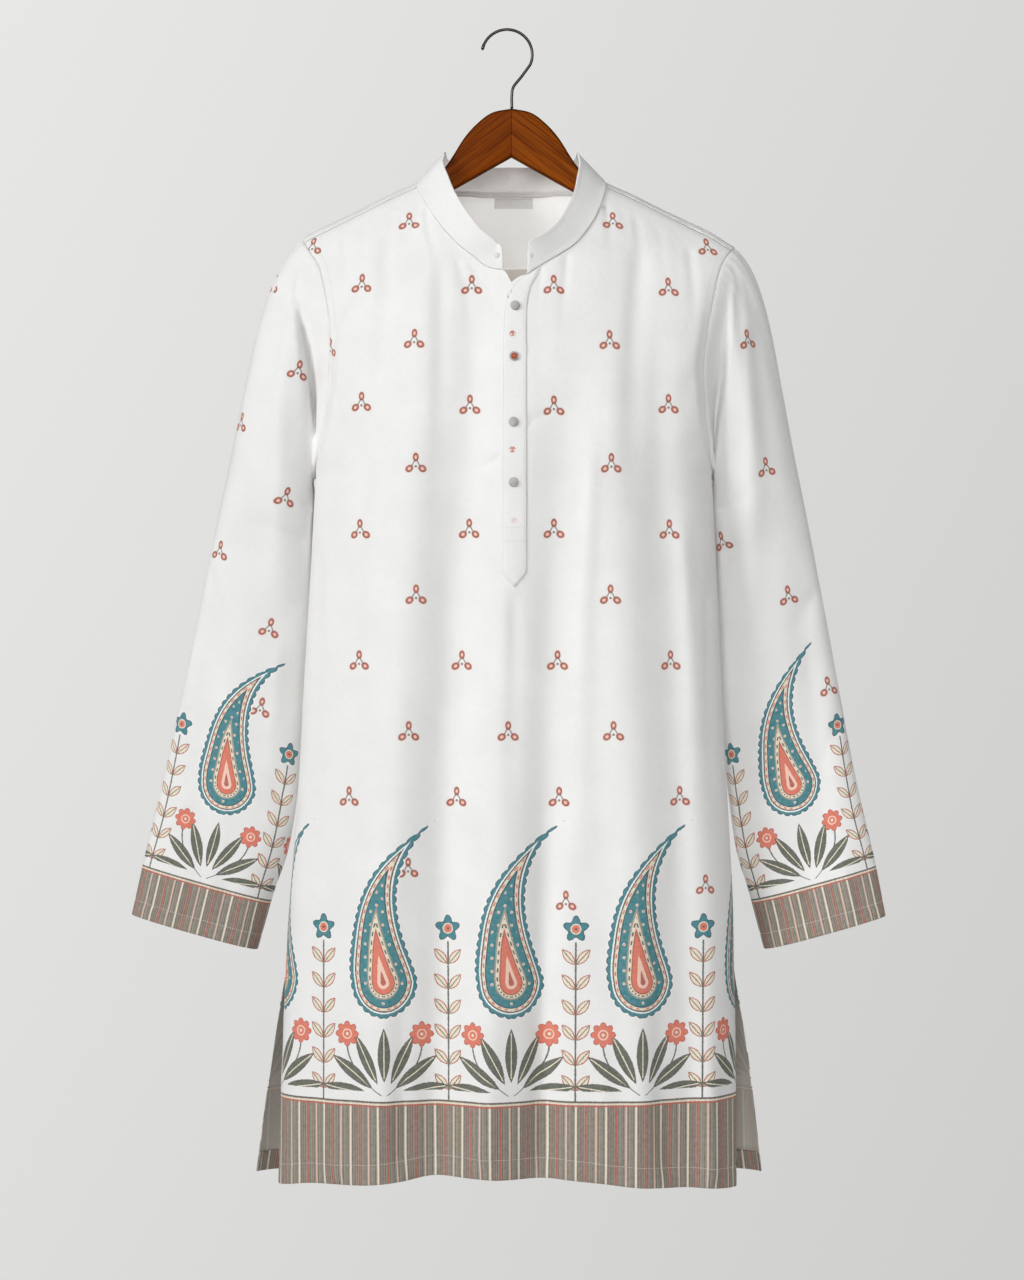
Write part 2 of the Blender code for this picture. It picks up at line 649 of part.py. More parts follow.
def hanger_arm(side, surface):
    """One wooden half, from the mitre to the rounded end of its arm."""
    dome = smooth_path([(0.0, HANGER_TOP), *HANGER_DOME, *HANGER_NECK], 2)
    upper = [(x, shoulder_down(x) + CLOTH_CLEARANCE) for x in ARM_STATIONS]
    end = smooth_path(ARM_END, 2)
    outline = [*dome, *upper, *end, *ARM_LOWER, (0.0, HANGER_BOTTOM)]
    sign = SIGN[side]
    curve = bpy.data.curves.new(f"hanger_arm_{side}", "CURVE")
    curve.dimensions = "2D"
    curve.fill_mode = "BOTH"
    curve.extrude = HANGER_HALF_THICKNESS - HANGER_EDGE
    curve.bevel_depth = HANGER_EDGE
    curve.bevel_resolution = 1
    curve.offset = -HANGER_EDGE
    spline = curve.splines.new("POLY")
    spline.points.add(len(outline) - 1)
    spline.use_cyclic_u = True
    for point, (x, down) in zip(spline.points, outline):
        point.co = (sign * (x + MITRE_GAP / 2), -float(down), 0.0, 1.0)
    made = add_object(f"hanger_arm_{side}", curve, surface)
    made.rotation_euler = (math.pi / 2, 0.0, 0.0)


def buttons(collar, surface):
    for i, (across, down) in enumerate(zip(BUTTON_ACROSS, BUTTON_DOWNS), 1):
        drop = shoulder_down(across) - down
        seat = form_point_out(across, drop, GAP + TRIM + GAP)
        outward = unit(form_point_out(across, drop, 0.001) - form_point_out(across, drop, 0.0))
        seat[1] -= SEAM_GAP / 2
        dome_button(f"button_{i}", seat, outward, BUTTON_RADIUS, BUTTON_HEIGHT, surface)
    for name, size, column in (
        ("collar_button", COLLAR_BUTTON, COLLAR_BUTTON["column"]),
        ("collar_stud", COLLAR_STUD, -1 - COLLAR_STUD["column"]),
    ):
        across = collar[2, column + 1] - collar[2, column - 1]
        up = collar[3, column] - collar[1, column]
        outward = unit(np.cross(up, across))
        seat = collar[2, column] + outward * GAP
        dome_button(name, seat, outward, size["radius"], size["height"], surface)


def main():
    for old in list(bpy.data.objects):
        bpy.data.objects.remove(old, do_unlink=True)
    collection = bpy.data.collections.new("kurta_tunic")
    bpy.context.scene.collection.children.link(collection)

    cloth = material("cloth", (0.86, 0.85, 0.83), 0.85)
    trim = material("trim", (0.80, 0.79, 0.77), 0.85)
    wood = material("wood", (0.14, 0.045, 0.014), 0.35)
    steel = material("steel", (0.35, 0.34, 0.33), 0.25, 1.0)
    shell = material("button", (0.62, 0.62, 0.61), 0.30)

    front, back = front_grid(), back_grid()
    sheet("front", front, CLOTH, cloth)
    sheet("back", back, CLOTH, cloth, flip=True)
    for side in SIDES:
        sheet(f"sleeve_{side}", sleeve_grid(side, front, back), CLOTH, cloth, True, side == "right")
    collar = collar_grid(front, back)
    sheet("collar", collar, BAND, cloth)
    sheet("placket", placket_grid(), TRIM, trim)
    sheet("yoke_facing", facing_grid(), TRIM, trim)
    sheet("neck_label", label_grid(), TRIM, trim)
    buttons(collar, shell)
    hanger_hook(steel)
    for side in SIDES:
        hanger_arm(side, wood)


main()
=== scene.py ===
"""Looks of a kurta tunic that hangs on a wooden hanger.

Units are metres, +Z is up, -Y faces the viewer, "left" in a name means -X, and "down" is a distance
below the rail. The garment's body is one hollow form, cut into a front and a back. A place on it is
named by how far across it lies and by its drop below the shoulder line: positive down the back,
negative down the front. Each cloth piece is a fine grid of such places with its creases laid in.
Its map named "cloth" is the flat cloth in metres, and the map named "buti" gives each face its
place about the nearest small motif, so weave and print follow the cloth.
"""

import logging
import math
from collections.abc import Iterable, Iterator, Sequence
from dataclasses import dataclass, field
from enum import Enum
from functools import cached_property

import bmesh
import bpy
import numpy as np
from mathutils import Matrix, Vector, noise


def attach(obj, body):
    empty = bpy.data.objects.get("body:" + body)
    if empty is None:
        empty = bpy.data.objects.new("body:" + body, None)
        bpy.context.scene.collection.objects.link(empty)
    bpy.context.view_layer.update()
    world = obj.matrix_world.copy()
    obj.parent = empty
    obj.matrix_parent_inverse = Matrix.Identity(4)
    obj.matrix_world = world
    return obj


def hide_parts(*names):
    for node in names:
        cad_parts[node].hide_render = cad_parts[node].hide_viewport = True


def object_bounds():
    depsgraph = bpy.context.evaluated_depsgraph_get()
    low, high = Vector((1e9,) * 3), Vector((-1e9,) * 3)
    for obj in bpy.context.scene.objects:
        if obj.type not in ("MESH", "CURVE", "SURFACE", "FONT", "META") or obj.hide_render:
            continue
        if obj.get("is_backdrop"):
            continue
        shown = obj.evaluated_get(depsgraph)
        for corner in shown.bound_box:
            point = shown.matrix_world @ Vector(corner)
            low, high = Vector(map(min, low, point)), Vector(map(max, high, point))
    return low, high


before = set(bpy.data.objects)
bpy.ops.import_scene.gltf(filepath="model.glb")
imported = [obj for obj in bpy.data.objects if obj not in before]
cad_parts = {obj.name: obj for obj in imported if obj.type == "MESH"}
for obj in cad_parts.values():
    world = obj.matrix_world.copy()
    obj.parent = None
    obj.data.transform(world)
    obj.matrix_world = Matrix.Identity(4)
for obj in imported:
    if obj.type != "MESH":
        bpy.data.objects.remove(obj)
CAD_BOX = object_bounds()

LOG = logging.getLogger("kurta")
BODY = "root"
Array = np.ndarray
Layer = tuple[float, tuple[float, float]]


class Side(Enum):
    """The two sides of the garment, each with its sign along X."""

    LEFT = -1.0
    RIGHT = 1.0

    @property
    def label(self) -> str:
        """The side's name as it stands in the names of pieces."""
        return self.name.lower()


class Table:
    """A short table of sizes, its rows in rising order of the first column."""

    def __init__(self, header: str, *rows: tuple[float, ...]) -> None:
        """Stores the rows by column.

        Args:
            header: The names of the columns, apart by spaces.
            rows: One tuple of numbers for each row.
        """
        self.columns: dict[str, Array] = dict(zip(header.split(), np.array(rows, float).T))
        self.key: str = header.split()[0]

    def rows(self) -> Iterator[tuple[float, ...]]:
        """The table's rows, one tuple each."""
        return zip(*self.columns.values())

    def read(self, column: str, at: Array | float) -> Array:
        """Reads a column as a smooth curve of the first one, without overshoot.

        Args:
            column: The column to read.
            at: Values of the first column.

        Returns:
            The column's values there.
        """
        xs, ys = self.columns[self.key], self.columns[column]
        at = np.clip(np.asarray(at, float), xs[0], xs[-1])
        steps = np.diff(xs)
        slopes = np.diff(ys) / steps
        tangents = np.concatenate([slopes[:1], np.zeros(len(xs) - 2), slopes[-1:]])
        product = slopes[1:] * slopes[:-1]
        total = np.where(product > 0, slopes[1:] + slopes[:-1], 1.0)
        tangents[1:-1] = np.where(product > 0, 2 * product / total, 0.0)
        i = np.clip(np.searchsorted(xs, at) - 1, 0, len(steps) - 1)
        t = (at - xs[i]) / steps[i]
        hold = (1 + 2 * t) * (1 - t) ** 2 * ys[i] + t**2 * (3 - 2 * t) * ys[i + 1]
        lean = t * (1 - t) ** 2 * tangents[i] - t**2 * (1 - t) * tangents[i + 1]
        return hold + steps[i] * lean

    def by_side(self, at: Array, across: Array) -> Array:
        """Reads the left or the right column, whichever side each place is on."""
        left, right = self.read("left", at), self.read("right", at)
        return np.where(across < 0, left, right)


def eased(t: Array | float) -> Array:
    """A share from 0 to 1 with soft ends."""
    t = np.clip(t, 0.0, 1.0)
    return t * t * (3 - 2 * t)


def unit(vectors: Array) -> Array:
    """The vectors at a length of one."""
    return vectors / np.maximum(np.linalg.norm(vectors, axis=-1, keepdims=True), 1e-12)


def finer(stations: Sequence[float] | Array, parts: int) -> Array:
    """Cuts each interval between stations into equal parts.

    Args:
        stations: The stations.
        parts: How many parts each interval gets.

    Returns:
        The stations with the new ones between them.
    """
    stations = np.asarray(stations, float)
    places = np.linspace(0, len(stations) - 1, (len(stations) - 1) * parts + 1)
    return np.interp(places, np.arange(len(stations)), stations)


def bell(offset: Array, width: float) -> Array:
    """One where the offset is nothing, dying out to either side over the width."""
    return np.exp(-((offset / width) ** 2))


def walked(points: Array, axis: int) -> Array:
    """The length walked along one axis of a grid of points, from its start.

    Args:
        points: The grid.
        axis: The axis: 0 down the columns, 1 along the rows.

    Returns:
        One length for each point.
    """
    steps = np.linalg.norm(np.diff(points, axis=axis), axis=-1)
    start = np.zeros_like(np.take(steps, [0], axis=axis))
    return np.cumsum(np.concatenate([start, steps], axis=axis), axis=axis)


def from_sides(lengths: Array) -> Array:
    """How far each point is from its row's nearer end, given the lengths walked along the rows."""
    return np.minimum(lengths, lengths[:, -1:] - lengths)


def facing(points: Array, closed: bool = False) -> Array:
    """Unit normals of a grid of points, which may close on itself along its rows.

    Args:
        points: The grid.
        closed: Whether each row closes on itself.

    Returns:
        One normal for each point, all on the same side.
    """
    if closed:
        columns = np.roll(points, -1, axis=1) - np.roll(points, 1, axis=1)
    else:
        columns = np.gradient(points, axis=1)
    return unit(np.cross(np.gradient(points, axis=0), columns))


def ripple(places: Array, scale: tuple[float, float], seed: float) -> Array:
    """Smooth uneven values from about -1 to 1.

    Args:
        places: An array whose last axis holds two coordinates.
        scale: How many waves there are to the metre along each of the two.
        seed: Picks one pattern out of many.

    Returns:
        One value for each place.
    """
    flat = places.reshape(-1, 2) * np.array(scale)
    values = [noise.noise(Vector((a, b, seed))) for a, b in flat]
    return np.array(values).reshape(places.shape[:-1])


def rippled(height: Array, places: Array, layers: Sequence[Layer], seed: float) -> Array:
    """Adds soft unevenness to a height.

    Args:
        height: The height without it.
        places: An array whose last axis holds two coordinates.
        layers: Each layer's size and its waves to the metre along the two.
        seed: Picks the pattern; each layer after the first takes the next one.

    Returns:
        The height with it.
    """
    for step, (size, waves) in enumerate(layers):
        height = height + size * ripple(places, waves, seed + step)
    return height


def pulled(places: Array, waves: tuple[float, float], seed: float) -> Array:
    """How deep stitches draw the cloth in, which is uneven from place to place."""
    return STITCH_PULL * (0.6 + 0.6 * ripple(places, waves, seed))


# Cloth and gaps
CLOTH_WALL = 0.0009
SEAM = 0.00006  # between the edges that a seam joins
LAID = 0.0002  # between pieces that lie on each other
HEM_FOLD = 0.0003  # between the cloth and the hem turned up inside it
GROOVE_WIDTH = 0.0016  # of the groove beside a seam
STITCH_PULL = 0.0005  # how deep a row of stitches draws the cloth in
PULL_WIDTH = 0.0022  # how wide
BAND_PULL_WIDTH = 0.0009  # the same on the collar and the placket

# Levels, as distances below the rail
UNDERARM = 0.4595
SLIT_TOP = 0.947
BACK_HEM = 1.168
PRINT_TOP = 1.0817  # the top edge of the striped band on the body
CUFF_BAND = 0.0515  # the height of the striped band on the sleeves

# Seeds of the unevenness, shared with what lies on the cloth
FRONT_SEED = 3.0
BACK_SEED = 11.0


def folds(*rows: tuple[float, ...]) -> Table:
    """A table of long folds: where each starts and ends down and across, its width and height."""
    return Table("start end across_start across_end width height", *rows)


@dataclass
class HollowForm:
    """The shape that the garment's body takes as it hangs."""

    shoulder_line: Table = Table(
        "across down",
        (0.000, 0.1127), (0.097, 0.1555), (0.125, 0.1680), (0.157, 0.1840),
        (0.184, 0.1975), (0.205, 0.2075), (0.219, 0.2162), (0.229, 0.2220),
    )
    half_width: Table = Table(
        "down left right",
        (0.213, 0.2128, 0.2330), (0.232, 0.2047, 0.2205), (0.255, 0.1942, 0.2115),
        (0.295, 0.1860, 0.2030), (0.325, 0.1828, 0.1980), (0.371, 0.1850, 0.1945),
        (0.410, 0.1905, 0.1968), (0.4595, 0.2000, 0.2040), (0.546, 0.2050, 0.2090),
        (0.684, 0.2127, 0.2155), (0.807, 0.2203, 0.2215), (0.916, 0.2285, 0.2265),
        (1.048, 0.2335, 0.2281), (1.180, 0.2365, 0.2281),
    )
    beyond_edge: Table = Table(
        "down extra",
        (0.150, 0.045), (0.250, 0.045), (0.300, 0.042), (0.360, 0.030), (0.410, 0.016),
        (0.440, 0.006), (0.4595, 0.0), (0.947, 0.0), (1.180, 0.004),
    )
    depth: Table = Table(
        "down front back",
        (0.150, 0.0935, 0.075), (0.400, 0.0935, 0.075), (0.600, 0.0880, 0.066),
        (0.900, 0.0900, 0.064), (1.180, 0.0940, 0.064),
    )
    front_folds: Table = folds(
        (0.22, 1.18, -0.066, -0.136, 0.027, 0.0112),
        (0.22, 1.18, -0.020, -0.078, 0.023, -0.0148),
        (0.38, 1.18, 0.012, -0.018, 0.021, 0.0080),
        (0.36, 1.18, 0.060, 0.030, 0.019, -0.0105),
        (0.22, 1.18, 0.078, 0.131, 0.022, 0.0075),
        (0.22, 1.18, 0.123, 0.178, 0.019, -0.0085),
        (0.50, 1.18, 0.205, 0.202, 0.013, 0.0045),
        (0.60, 1.18, -0.190, -0.196, 0.018, -0.0040),
    )
    back_folds: Table = folds(
        (0.32, 1.17, -0.125, -0.150, 0.022, 0.0060),
        (0.30, 1.17, -0.055, -0.070, 0.018, -0.0070),
        (0.36, 1.17, 0.010, 0.004, 0.022, 0.0060),
        (0.30, 1.17, 0.075, 0.090, 0.018, -0.0070),
        (0.34, 1.17, 0.130, 0.160, 0.020, 0.0055),
    )
    front_swell: float = 0.095
    back_swell: float = 0.055
    shoulder_round: float = 0.016
    roundness: float = 2.6

    def shoulder_down(self, across: Array | float) -> Array:
        """How far below the rail the shoulder line is."""
        return self.shoulder_line.read("down", np.abs(across))

    def point(self, across: Array, drop: Array, flare: Array | float = 0.0) -> Array:
        """Points of the form.

        Args:
            across: Places across it.
            drop: Distances below the shoulder line, negative down the front.
            flare: How much wider the form is there.

        Returns:
            An array of x, y and z.
        """
        across, drop = np.broadcast_arrays(np.asarray(across, float), np.asarray(drop, float))
        down = self.shoulder_down(across) + np.abs(drop)
        widest = self.half_width.by_side(down, across) + flare
        widest = widest + self.beyond_edge.read("extra", down)
        share = np.clip(np.abs(across) / widest, 0, 1)
        oval = (1 - share**self.roundness) ** (1 / self.roundness)
        near = np.clip(np.abs(drop) / self.shoulder_round, 0, 1)
        rounding = self.shoulder_round * np.sqrt(1 - (1 - near) ** 2)
        depths = []
        for panel, swell, folds in (
            ("front", self.front_swell, self.front_folds),
            ("back", self.back_swell, self.back_folds),
        ):
            filled = 1 - np.exp(-np.abs(drop) / swell)
            full = self.depth.read(panel, down) - self.shoulder_round
            depths.append(oval * (rounding + full * filled + self.folded(folds, across, down)))
        return np.stack([across, np.where(drop < 0, -depths[0], depths[1]), -down], axis=-1)

    @staticmethod
    def folded(folds: Table, across: Array, down: Array) -> Array:
        """How far the form's long folds stand out at each place.

        Args:
            folds: The panel's folds.
            across: Places across the form.
            down: Their distances below the rail.

        Returns:
            One height for each place.
        """
        height = np.zeros(np.broadcast(across, down).shape)
        for start, end, at_start, at_end, width, peak in folds.rows():
            grown = np.sqrt(np.clip((down - start) / (end - start), 0, 1))
            centre = at_start + (at_end - at_start) * grown
            height += peak * grown * bell(across - centre, width)
        return height

    def point_out(self, across: Array, drop: Array, out: float) -> Array:
        """Points of the form, moved out along its normal.

        Args:
            across: Places across the form.
            drop: Their drops below the shoulder line.
            out: How far they are moved, negative inwards.

        Returns:
            An array of x, y and z.
        """
        step = 0.0005
        across = np.asarray(across, float)
        point = self.point(across, drop)
        along_x = self.point(across + step, drop) - self.point(across - step, drop)
        along_drop = self.point(across, drop + step) - self.point(across, drop - step)
        normal = unit(np.cross(along_drop, along_x))
        return point + normal * np.sign(normal[..., 1:2] * point[..., 1:2]) * out


@dataclass(frozen=True)
class Creases:
    """Soft creases, each along a line on which it is strong at first and then dies out.

    The table's columns are the line's two ends across and down, how far its middle bows to the
    right, its width and its height, which is negative for a trough.
    """

    table: Table
    onset: float = 0.10
    fading: float = 0.8
    narrowing: float = 0.6
    rebound: float = 0.45
    falloff: float = 0.9

    def height(self, across: Array, down: Array) -> Array:
        """How far the cloth stands out at each place.

        Args:
            across: Places across the garment.
            down: Their distances below the rail.

        Returns:
            One height for each place.
        """
        total = np.zeros(np.broadcast(across, down).shape)
        for x0, d0, x1, d1, bow, width, peak in self.table.rows():
            run, fall = x1 - x0, d1 - d0
            length = math.hypot(run, fall)
            along = ((across - x0) * run + (down - d0) * fall) / length**2
            t = np.clip(along, 0.0, 1.0)
            aside = ((across - x0) * fall - (down - d0) * run) / length
            aside = aside - bow * np.sin(math.pi * t)
            past = (along - t) * length
            reach = ((aside**2 + past**2) / width**2) * (1 + self.narrowing * (1 - t))
            strength = eased(t / self.onset) * (1 - t) ** self.fading
            shape = (1 - self.rebound * reach) * np.exp(-self.falloff * reach)
            total += peak * strength * shape
        return total


def creases(*rows: tuple[float, ...]) -> Creases:
    """Creases from one row each."""
    return Creases(Table("x0 d0 x1 d1 bow width height", *rows))


def motifs(*rows: tuple[float, ...]) -> Table:
    """A table of small motifs: where each sits and its lean to the right in degrees."""
    return Table("down across lean", *rows)


AXIS = np.array([0.0, 0.0, 1.0])


@dataclass
class ClothGrid:
    """A fine grid of points on a piece of cloth, with the flat cloth's coordinates."""

    points: Array
    flat: Array

    def normals(self, closed: bool = False) -> Array:
        """Unit normals at the points, on the side that faces away from the middle.

        Args:
            closed: Whether the grid closes on itself, about each row's own middle. An open grid
                has its middle on the garment's axis.

        Returns:
            One normal for each point.
        """
        middle = self.points * AXIS
        if closed:
            middle = self.points.mean(axis=1, keepdims=True)
        normal = facing(self.points, closed)
        away = np.sum(normal * (self.points - middle), axis=-1, keepdims=True)
        return normal * np.where(away < 0, -1.0, 1.0)

    def raised(self, height: Array) -> "ClothGrid":
        """The open grid with its points moved out."""
        return ClothGrid(self.points + self.normals() * height[..., None], self.flat)


class Edge(Enum):
    """The four edges of a grid of cloth."""

    TOP = "top"
    BOTTOM = "bottom"
    LEFT = "left"
    RIGHT = "right"


def line_inside(points: Array, edge: Edge, distance: float, reach: int = 40) -> Array:
    """The line that runs along one edge of a grid of points, at a distance inside it.

    Args:
        points: The grid.
        edge: The edge that the line follows.
        distance: How far inside the edge it runs.
        reach: How many of the grid's rows or columns to look at.

    Returns:
        One point for each row or column that the line crosses.
    """
    turned = {
        Edge.TOP: points.transpose(1, 0, 2),
        Edge.BOTTOM: points[::-1].transpose(1, 0, 2),
        Edge.LEFT: points,
        Edge.RIGHT: points[:, ::-1],
    }[edge][:, :reach]
    found = []
    for line, length in zip(turned, walked(turned, axis=1)):
        found.append([np.interp(distance, length, line[:, i]) for i in range(3)])
    return np.array(found)


def new_object(name: str, data: bpy.types.ID) -> bpy.types.Object:
    """An object at the origin, in the scene's collection.

    Args:
        name: The object's name.
        data: Its mesh, curve, lamp or camera.

    Returns:
        The object.
    """
    made = bpy.data.objects.new(name, data)
    bpy.context.scene.collection.objects.link(made)
    return made


def finish_piece(piece: bpy.types.Object, slot: str, *nodes: str) -> None:
    """Makes a piece ride on the garment and hides the solids that it replaces.

    Args:
        piece: The finished object.
        slot: The record's material slot; not used.
        nodes: The solids that it replaces.
    """
    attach(piece, BODY)
    if nodes:
        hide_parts(*nodes)
    LOG.info("%s: %d faces", piece.name, len(piece.data.polygons))


def motif_frames(
    grid: ClothGrid, marks: Table, wall: float = 0.0, mirrored: bool = False
) -> list[Array]:
    """Where small motifs sit on the cloth.

    Args:
        grid: The cloth's grid.
        marks: Each motif's place down and across, and its lean to the right in degrees.
        wall: Which wall of a tube they are on: -1 the one at the front, 1 the one at the back.
        mirrored: Whether they are the other way round, as seen from behind.

    Returns:
        One array for each motif, of its centre and its directions to the right and up.
    """
    points = grid.points
    normals = facing(points)
    beyond = np.zeros(points.shape[:2])
    if wall:
        depth = points[..., 1] - points[..., 1].mean(axis=1, keepdims=True)
        beyond = np.where(depth * wall > 0, 0.0, 1.0)
    frames = []
    for down, across, lean in marks.rows():
        sign = -1.0 if mirrored else 1.0
        aside, under = points[..., 0] - sign * across, points[..., 2] + down
        at = np.unravel_index(np.argmin(aside**2 + under**2 + beyond), beyond.shape)
        turn = math.radians(lean) * sign
        up = np.array([math.sin(turn), 0.0, math.cos(turn)])
        normal = normals[at] * (-1.0 if normals[at][1] > 0 else 1.0)
        up = unit(up - normal * np.dot(up, normal))
        frames.append(np.stack([points[at], np.cross(up, normal), up]))
    return frames


MOTIF_REACH = 0.018  # how far a small motif reaches from its centre
FAR_OFF = 1.0


@dataclass
class Sheet:
    """Turns a grid of cloth into a piece with a thin wall.

    The cloth's outer side takes the first finish and its inner side the second. Where the grid
    closes on itself, its flat coordinates have one column more than its points.
    """

    name: str
    grid: ClothGrid
    outer: bpy.types.Material
    inner: bpy.types.Material
    wall: float = CLOTH_WALL
    closed: bool = False
    flip: bool = False
    motifs: list[Array] = field(default_factory=list)

    def build(self) -> bpy.types.Object:
        """Makes the piece's mesh, its maps and its wall."""
        rows, columns = self.grid.points.shape[:2]
        wrap = columns if self.closed else columns - 1
        r, c = np.meshgrid(np.arange(rows - 1), np.arange(wrap), indexing="ij")
        d = (c + 1) % columns
        here, below = r * columns, (r + 1) * columns
        corners = np.stack([here + c, below + c, below + d, here + d], -1)
        flat = self.grid.flat
        places = np.stack([flat[r, c], flat[r + 1, c], flat[r + 1, c + 1], flat[r, c + 1]], -2)
        corners, places = corners.reshape(-1, 4), places.reshape(-1, 4, 2)
        if self.flip:
            corners, places = corners[:, ::-1], places[:, ::-1]
        mesh = bpy.data.meshes.new(self.name)
        mesh.from_pydata(self.grid.points.reshape(-1, 3).tolist(), [], corners.tolist())
        self.add_map(mesh, "cloth", places)
        self.add_map(mesh, "buti", self.about_motifs(corners))
        mesh.shade_smooth()
        mesh.materials.append(self.outer)
        mesh.materials.append(self.inner)
        piece = new_object(self.name, mesh)
        wall = piece.modifiers.new("wall", "SOLIDIFY")
        wall.thickness = self.wall
        wall.offset = -1
        wall.use_even_offset = False
        wall.use_quality_normals = True
        wall.material_offset = 1
        return piece

    @staticmethod
    def add_map(mesh: bpy.types.Mesh, name: str, places: Array) -> None:
        """Adds one flat map, given as two numbers for each corner of each face."""
        made = mesh.uv_layers.new(name=name)
        made.data.foreach_set("uv", places.astype(np.float32).ravel())

    def about_motifs(self, corners: Array) -> Array:
        """Each corner's place about the nearest motif, or far off where there is none.

        Args:
            corners: The faces' corners, as numbers of points.

        Returns:
            Two coordinates for each corner.
        """
        points = self.grid.points.reshape(-1, 3)[corners]
        middles = points.mean(axis=1)
        about = np.full((*corners.shape, 2), FAR_OFF)
        for centre, right, up in self.motifs:
            near = np.linalg.norm(middles - centre, axis=-1) < MOTIF_REACH
            offset = points[near] - centre
            about[near] = np.stack([offset @ right, offset @ up], -1)
        return about


